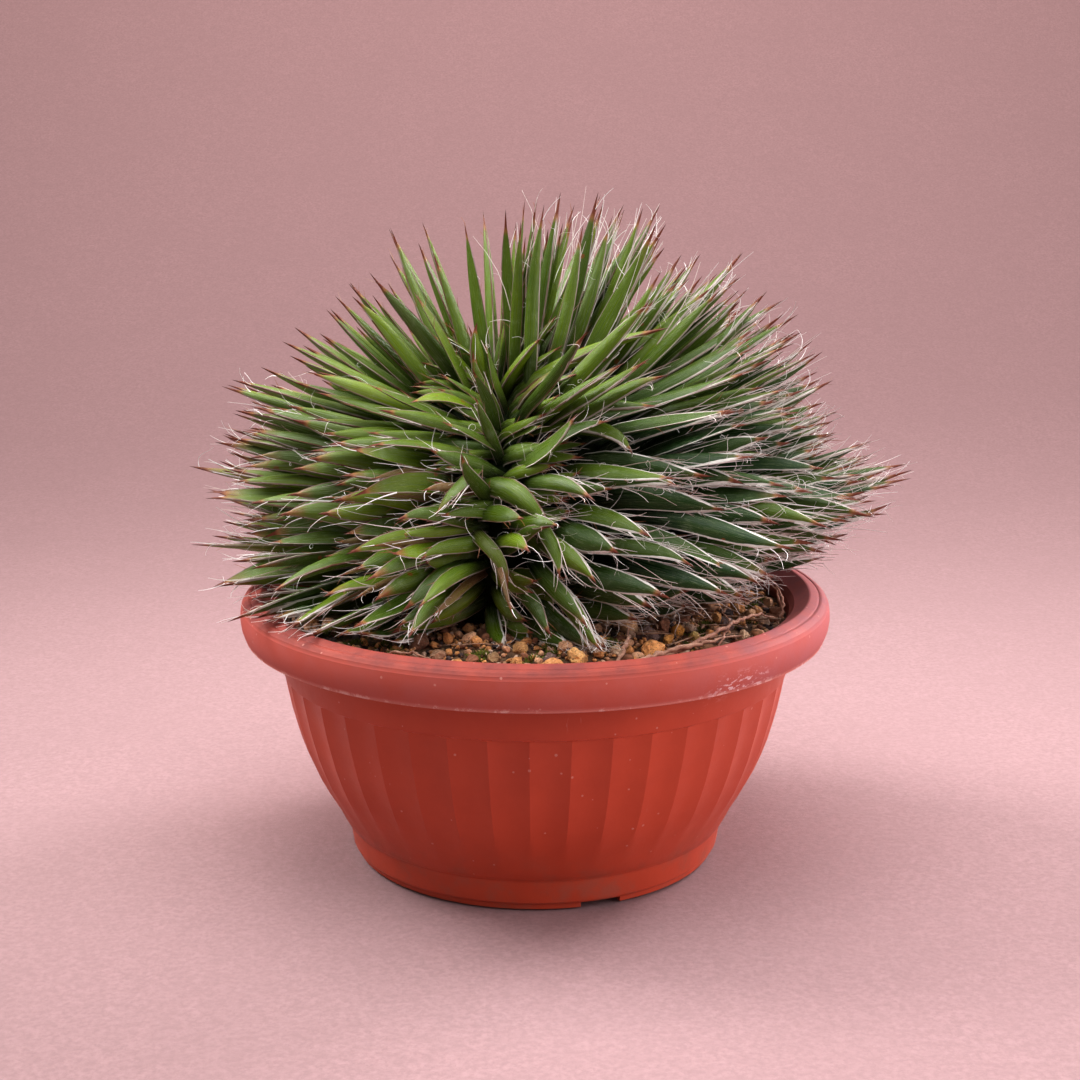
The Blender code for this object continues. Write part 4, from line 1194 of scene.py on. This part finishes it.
mixLook = {
    "columns": 240, "rings": 46, "edge": 0.0856, "hole": 0.0243, "floor": 0.0497, "crumb": 0.0007,
    "heap": 0.0040, "inside": 0.0845, "outermost": 0.0852,
    # the stones as in the solids: how many, the seed, the draws skipped after each, ring and sizes
    "solidStones": 36, "solidSeed": 11, "solidDraws": 17, "solidRing": (0.059, 0.0795),
    "solidSizes": (0.0022, 0.0046),
    # name: shapes, how finely made, seed, flats, how many, sizes, how far in they reach
    "seed": 17, "grit": {
        "gritStones": (8, 2, 40, 9, 430, (0.0012, 0.0028), 0.046),
        "gritGrains": (4, 1, 70, 4, 3000, (0.00045, 0.0012), 0.040),
    },
    "front": (-135.0, 0.0), "frontShare": 0.62, "rootSeed": 63, "litter": 46,
    "mossSeed": 88, "mossClumps": 26, "mossBlades": 70,
    "mossSpots": [(0.0475, -0.0540), (0.0430, -0.0590), (0.0365, -0.0660), (0.0530, -0.0450),
                  (-0.044, -0.058), (0.064, -0.030)],
}
# colours of what lies in the mix, with the share of each
gritColours = [((0.82, 0.41, 0.16), 0.30), ((0.80, 0.47, 0.29), 0.28), ((0.86, 0.64, 0.50), 0.12),
               ((0.33, 0.145, 0.082), 0.19), ((0.085, 0.058, 0.062), 0.11)]
# the stones that catch the eye at the front: x, y, height of the middle, size (mm), colour
leadingStones = {
    "roundTan": ((29.5, -46.0, 90.4), 4.3, (0.72, 0.46, 0.27)),
    "lavaLump": ((35.5, -49.5, 87.6), 4.5, (0.165, 0.105, 0.095)),
    "orangeBack": ((45.5, -45.5, 87.6), 2.9, (0.80, 0.40, 0.09)),
    "orangeFront": ((42.0, -51.0, 86.6), 2.5, (0.78, 0.40, 0.11)),
    "ochreFront": ((13.2, -69.5, 85.6), 4.6, (0.85, 0.52, 0.22)),
    "paleFront": ((16.2, -59.5, 87.4), 3.2, (0.76, 0.55, 0.38)),
    "paleBack": ((13.0, -49.0, 89.6), 2.8, (0.70, 0.50, 0.33)),
    "smallPale": ((25.0, -62.0, 86.2), 2.6, (0.74, 0.56, 0.40)),
    "brownFront": ((-12.9, -68.0, 85.2), 3.0, (0.40, 0.25, 0.13)),
    "ochreMiddle": ((-4.9, -63.0, 87.0), 3.2, (0.70, 0.42, 0.18)),
    "darkMiddle": ((4.4, -69.5, 85.6), 3.0, (0.20, 0.125, 0.115)),
    "barkLeft": ((-36.0, -55.0, 87.0), 4.2, (0.30, 0.155, 0.095)),
    "barkLow": ((-29.4, -66.0, 85.6), 3.0, (0.42, 0.25, 0.16)),
    "greyRight": ((63.0, -34.0, 87.2), 3.0, (0.36, 0.28, 0.28)),
    "paleRight": ((66.8, -44.0, 85.8), 2.3, (0.76, 0.55, 0.37)),
    "orangeRight": ((59.0, -33.0, 88.8), 2.3, (0.74, 0.42, 0.17)),
    "tanRight": ((70.4, -24.0, 87.2), 3.2, (0.62, 0.38, 0.22)),
    "amberRight": ((50.5, -50.0, 87.4), 2.6, (0.70, 0.50, 0.18)),
}
# dried roots: their points (mm), and how thick
driedRoots = {
    "longRoot": ([(19, -78, 83.6), (27, -76.5, 85.6), (35, -72.5, 87.2), (43, -67.5, 88.2), (51, -62, 88.6),
                  (59, -54, 88.0), (68, -42, 85.4)], 1.55),
    "archingRoot": ([(40, -64, 84.6), (49, -62, 88.2), (58, -54, 90.6), (66, -44, 91.4), (73, -34, 90.2),
                     (79, -24, 86.0)], 1.30),
    "forkRoot": ([(56, -59, 84.6), (60, -52, 89.4), (62, -45, 91.2), (60, -38, 92.0)], 0.90),
    "shortRoot": ([(23.5, -76.0, 84.2), (26.6, -70.5, 87.4), (28.6, -62.0, 89.8), (29.4, -54.0, 91.6)], 1.15),
    "bentRoot": ([(33, -77.5, 84.4), (38, -76.0, 86.2), (43, -73.5, 86.0), (46, -70.5, 84.2)], 1.10),
    "standingRoot": ([(80, -24, 84.6), (82, -22, 90.0), (80, -17, 96.0), (75, -13, 99.0)], 0.85),
    "sideRoot": ([(83, -14, 84.6), (82, -10, 90.6), (78, -6, 95.0)], 0.75),
    "backRoot": ([(-78, 18, 84.6), (-72, 28, 87.2), (-66, 36, 88.0), (-58, 46, 87.4), (-50, 56, 84.6)], 1.25),
    "leftRoot": ([(-52, -62, 84.4), (-44, -66, 86.8), (-36, -69, 87.0), (-27, -73, 84.6)], 0.85),
    "frontRoot": ([(-16, -78, 84.2), (-7, -77, 85.8), (3, -77.5, 86.0), (12, -78, 84.2)], 0.60),
}


def mixHeight(x, y):
    wave = sin(x * 410.0 + 1.3) * cos(y * 360.0) + 0.6 * sin(x * 190.0 - y * 270.0)
    crumbs = noise.noise(Vector((x * 420.0, y * 420.0, 1.7))) * mixLook["crumb"]
    turn = degrees(atan2(y, x))
    crescent = smoothStep(-150.0, -115.0, turn) * smoothStep(25.0, -5.0, turn)
    heap = mixLook["heap"] * crescent * smoothStep(0.080, 0.056, hypot(x, y))
    return crest["mixTop"] + crest["relief"] * wave / 1.6 + crumbs + heap


def makeBed():
    hole, top = mixLook["hole"], crest["mixTop"]
    rows = [(0.0030, mixLook["floor"]), (hole, mixLook["floor"]), (hole, top)]
    for k in range(1, mixLook["rings"] + 1):
        rows.append((blend(hole, mixLook["edge"], k / mixLook["rings"]), top))
    rows += [row for row in reversed(innerRows(0.0003)) if row[1] < top - 0.003]
    bed = lathe("mixBed", rows, mixLook["columns"])
    for vert in bed.data.vertices:
        if abs(vert.co.z - top) < 0.0001 and hypot(vert.co.x, vert.co.y) > hole + 0.001:
            vert.co.z = mixHeight(vert.co.x, vert.co.y) - 0.0004
    shadeSmooth(bed, 60)
    mat, place = newSkin("darkMix")
    colour = mottled(place, 330.0, 0.90, (0.20, 0.115, 0.065), (0.034, 0.020, 0.014))
    crumbs = placeGroup(speckGroup, {"Vector": place, "Scale": 520.0, "Share": 0.30})["Mask"]
    colour = mixColour(times(crumbs, 0.8), colour, (0.42, 0.27, 0.14))
    dress(bed, finishSkin(mat, colour, 0.95, (noiseNode(place, 700.0, 5.0, 0.7), 0.8, 0.0010)))
    return bed


def modelStone(subdivisions, seed, flats):
    # a ball cut back by flat faces, as crushed grit is, then roughened a little
    deselectAll()
    bpy.ops.mesh.primitive_ico_sphere_add(subdivisions=subdivisions, radius=1.0)
    stone = bpy.context.object
    draw = random.Random(seed)
    planes = []
    for k in range(flats):
        n = unit(randomWay(draw))
        planes.append((n, draw.uniform(0.54, 0.86)))
    verts = np.array([tuple(v.co) for v in stone.data.vertices])
    for k, vert in enumerate(verts):
        direction = unit(vert)
        reach = 1.0
        for n, depth in planes:
            towards = float(np.dot(direction, n))
            if towards > 0.15:
                reach = min(reach, depth / towards)
        rough = 0.0
        for often, high in ((2.3, 0.10), (5.0, 0.09), (15.0, 0.035))[:3 if subdivisions > 2 else 1]:
            rough += noise.noise(Vector(direction * often + seed)) * high
        verts[k] = direction * (reach + rough)
    faces = [list(p.vertices) for p in stone.data.polygons]
    bpy.data.objects.remove(stone, do_unlink=True)
    return verts, faces


def turned(verts, size, draw, flat=0.6):
    scale = vec(size, size * draw.uniform(0.70, 0.98), size * draw.uniform(flat, 0.85))
    spin = Matrix.Rotation(draw.uniform(0, 6.28), 3, "Z") @ Matrix.Rotation(draw.gauss(0, 0.35), 3, "X")
    spin = spin @ Matrix.Rotation(draw.gauss(0, 0.35), 3, "Y")
    return (verts * scale) @ np.array(spin).T


def stonePlaces():
    # as in the solids: most in the open crescent at the front and right
    draw = random.Random(mixLook["solidSeed"])
    taken = []
    for k in range(mixLook["solidStones"]):
        for attempt in range(60):
            if k % 2 == 0:
                turn = radians(draw.uniform(-95.0, -15.0))
            else:
                turn = draw.uniform(0.0, 2.0 * pi)
            r = draw.uniform(*mixLook["solidRing"])
            size = draw.uniform(*mixLook["solidSizes"])
            x, y = polar(r, turn)
            if all(hypot(x - u, y - w) > size + s + 0.0004 for u, w, s in taken):
                break
        else:
            continue
        taken.append((x, y, size))
        for skip in range(mixLook["solidDraws"]):
            draw.random()
    return taken


def gritTone(draw):
    pick = draw.random()
    for colour, share in gritColours:
        if pick < share:
            break
        pick -= share
    k = draw.uniform(0.70, 1.15)
    return (colour[0] * k, colour[1] * k, colour[2] * k, 1.0)


def scatterGrit():
    draw = random.Random(mixLook["seed"])
    heroShapes = [modelStone(4, 100 + k, 12) for k in range(6)]
    taken = []
    bodies = []
    for k, ((x, y, z), size, colour) in enumerate(leadingStones.values()):
        shape, shapeFaces = heroShapes[k % len(heroShapes)]
        body = turned(shape, size / 1000.0, draw, 0.72) + vec(x, y, z) / 1000.0
        bodies.append((body, shapeFaces, (*colour, 1.0)))
        taken.append((x / 1000.0, y / 1000.0, size / 1000.0))
    for x, y, size in stonePlaces():
        if any(hypot(x - u, y - w) < (size + s) * 0.8 for u, w, s in taken):
            continue
        shape, shapeFaces = heroShapes[len(bodies) % len(heroShapes)]
        body = turned(shape, size, draw) + vec(x, y, mixHeight(x, y) + size * 0.25)
        bodies.append((body, shapeFaces, gritTone(draw)))
        taken.append((x, y, size))
    pieces = [gather("gritHero", bodies, "gritTone", 24)]
    for name, (kinds, fineness, seed, flats, count, sizes, inner) in mixLook["grit"].items():
        shapes = [modelStone(fineness, seed + k, flats) for k in range(kinds)]
        bodies = []
        fine = name == "gritGrains"
        for k in range(count):
            for attempt in range(12):
                if draw.random() < mixLook["frontShare"]:
                    turn = radians(draw.uniform(*mixLook["front"]))
                else:
                    turn = draw.uniform(0.0, 6.2832)
                r = sqrt(draw.uniform(inner ** 2, mixLook["inside"] ** 2))
                size = draw.uniform(*sizes)
                if r + size > mixLook["outermost"]:
                    continue
                x, y = polar(r, turn)
                if fine or all((x - u) ** 2 + (y - w) ** 2 > ((size + s) * 0.80) ** 2 for u, w, s in taken):
                    break
            else:
                continue
            if fine and any((x - u) ** 2 + (y - w) ** 2 < s * s * 0.5 for u, w, s in taken):
                continue
            if not fine:
                taken.append((x, y, size))
            shape, shapeFaces = shapes[k % len(shapes)]
            body = turned(shape, size, draw) + vec(x, y, mixHeight(x, y) + size * draw.uniform(0.05, 0.45))
            bodies.append((body, shapeFaces, gritTone(draw)))
        pieces.append(gather(name, bodies, "gritTone", 26))
    return pieces


def gritSkin():
    mat, place = newSkin("gritStone")
    own, colour = ownTone(mat, place, "gritTone", (0.50, 0.42, 0.37), 420.0, 0.75)
    pale = rangeNode(noiseNode(place, 900.0, 5.0, 0.7), 0.54, 0.70, 0.0, 0.5)
    colour = mixColour(pale, colour, mixColour(0.5, own, (0.80, 0.66, 0.50)))
    pits = rangeNode(noiseNode(place, 1300.0, 4.0, 0.6), 0.44, 0.32, 0.0, 0.85)
    colour = mixColour(pits, colour, (0.10, 0.060, 0.040))
    return finishSkin(mat, colour, 0.9, (noiseNode(place, 1100.0, 6.0, 0.7), 0.55, 0.0006))


def smoothPath(points, steps):
    # a smooth line through the given points
    points = [np.array(p, dtype=float) for p in points]
    ends = [2 * points[0] - points[1]] + points + [2 * points[-1] - points[-2]]
    path = []
    for k in range(1, len(ends) - 2):
        a, b, c, d = ends[k - 1:k + 3]
        for j in range(steps):
            t = j / steps
            path.append(0.5 * (2 * b + (c - a) * t + (2 * a - 5 * b + 4 * c - d) * t * t
                               + (3 * b - a - 3 * c + d) * t ** 3))
    path.append(ends[-2])
    return path


def makeRoots():
    draw = random.Random(mixLook["rootSeed"])
    bodies = []
    for points, thick in driedRoots.values():
        path = smoothPath([np.array(p) / 1000.0 for p in points], 7)
        count = len(path)
        radii = []
        for k in range(count):
            path[k] = path[k] + randomWay(draw) * 0.00026
            part = k / (count - 1)
            knot = 0.58 + 0.30 * noise.noise(Vector(path[k]) * 300.0)
            swollen = 0.75 + 0.45 * sin(pi * min(1.0, part * 1.2))
            radii.append(thick / 1000.0 * knot * swollen * (1.0 - 0.35 * part))
        body, faces = rodAlong(path, radii, 9, 0.85)
        bodies.append((body, faces, (0.52 * draw.uniform(0.85, 1.1), 0.29, 0.21, 1.0)))
    # leaf litter: straight dry slivers and spines, most under the leaves at the right
    for k in range(mixLook["litter"]):
        if k % 3:
            turn = radians(draw.uniform(-62.0, -8.0))
        else:
            turn = radians(draw.uniform(-140.0, 180.0))
        r = draw.uniform(0.050, 0.076)
        start = vec(*polar(r, turn), 0.0)
        start[2] = mixHeight(start[0], start[1]) + draw.uniform(0.0008, 0.0030)
        way = turn + draw.gauss(0.35, 0.7)
        heading = unit(vec(cos(way), sin(way), draw.uniform(-0.10, 0.18)))
        length = draw.uniform(0.006, 0.017)
        length = min(length, (mixLook["inside"] - r) / max(0.3, cos(way - turn)) + 0.004)
        bend = vec(draw.gauss(0, 1), draw.gauss(0, 1), 0.5) * 0.0006
        path = [start + heading * length * t + bend * sin(pi * t) for t in (0.0, 0.25, 0.5, 0.75, 1.0)]
        path = [vec(p[0], p[1], max(p[2], mixHeight(p[0], p[1]) + 0.0004)) for p in path]
        wide = draw.uniform(0.00025, 0.00075)
        body, faces = rodAlong(path, [wide, wide * 1.1, wide, wide * 0.7, wide * 0.15], 6, 0.45)
        light = draw.uniform(0.7, 1.2)
        bodies.append((body, faces, (0.56 * light, 0.35 * light, 0.24 * light, 1.0)))
    piece = gather("rootsAndLitter", bodies, "rootTone", 50)
    mat, place = newSkin("driedRoot")
    _, colour = ownTone(mat, place, "rootTone", (0.45, 0.34, 0.30), 300.0, 0.7)
    pale = rangeNode(noiseNode(place, 800.0, 4.0, 0.7), 0.55, 0.72, 0.0, 0.5)
    colour = mixColour(pale, colour, (0.80, 0.62, 0.55))
    dress(piece, finishSkin(mat, colour, 0.75, (noiseNode(place, 900.0, 5.0, 0.7), 0.6, 0.0005)))
    return piece


def makeMoss():
    # low cushions of tiny pointed blades, in the open crescent and a few elsewhere
    draw = random.Random(mixLook["mossSeed"])
    spots = mixLook["mossSpots"]
    bodies = []
    for k in range(mixLook["mossClumps"]):
        if k < len(spots):
            x, y = spots[k]
        else:
            turn = radians(draw.uniform(-150.0, 10.0)) if k % 3 else draw.uniform(0.0, 6.28)
            r = draw.uniform(0.056, 0.080)
            x, y = polar(r, turn)
        spread = draw.uniform(0.0016, 0.0034)
        tone = draw.uniform(0.7, 1.2)
        for j in range(mixLook["mossBlades"]):
            dx, dy = draw.gauss(0, spread * 0.55), draw.gauss(0, spread * 0.55)
            if hypot(x + dx, y + dy) > mixLook["inside"] + 0.0001:
                continue
            lift = max(0.0, 1.0 - hypot(dx, dy) / spread) * 0.0010
            start = vec(x + dx, y + dy, mixHeight(x + dx, y + dy) + lift)
            heading = unit(vec(dx / spread + draw.gauss(0, 0.4), dy / spread + draw.gauss(0, 0.4), 1.0))
            size = draw.uniform(0.0007, 0.0017)
            path = [start, start + heading * size * 0.5, start + heading * size]
            body, faces = rodAlong(path, [0.00016, 0.00024, 0.00002], 3)
            light = tone * draw.uniform(0.6, 1.3)
            bodies.append((body, faces, (0.165 * light, 0.185 * light, 0.018 * light, 1.0)))
    piece = gather("mossTufts", bodies, "mossTone", 80)
    mat, place = newSkin("mossGreen")
    _, colour = ownTone(mat, place, "mossTone", (0.45, 0.50, 0.40), 500.0, 0.8)
    dress(piece, finishSkin(mat, colour, 0.85, (noiseNode(place, 1500.0, 3.0), 0.4, 0.0003)))
    return piece


bed = makeBed()
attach(bed, "root")
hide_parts("potting_mix")
gritMaterial = gritSkin()
for piece in scatterGrit():
    dress(piece, gritMaterial)
    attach(piece, "root")
    print(piece.name, len(piece.data.polygons), "faces")
for piece in (makeRoots(), makeMoss()):
    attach(piece, "root")
    print(piece.name, len(piece.data.polygons), "faces")
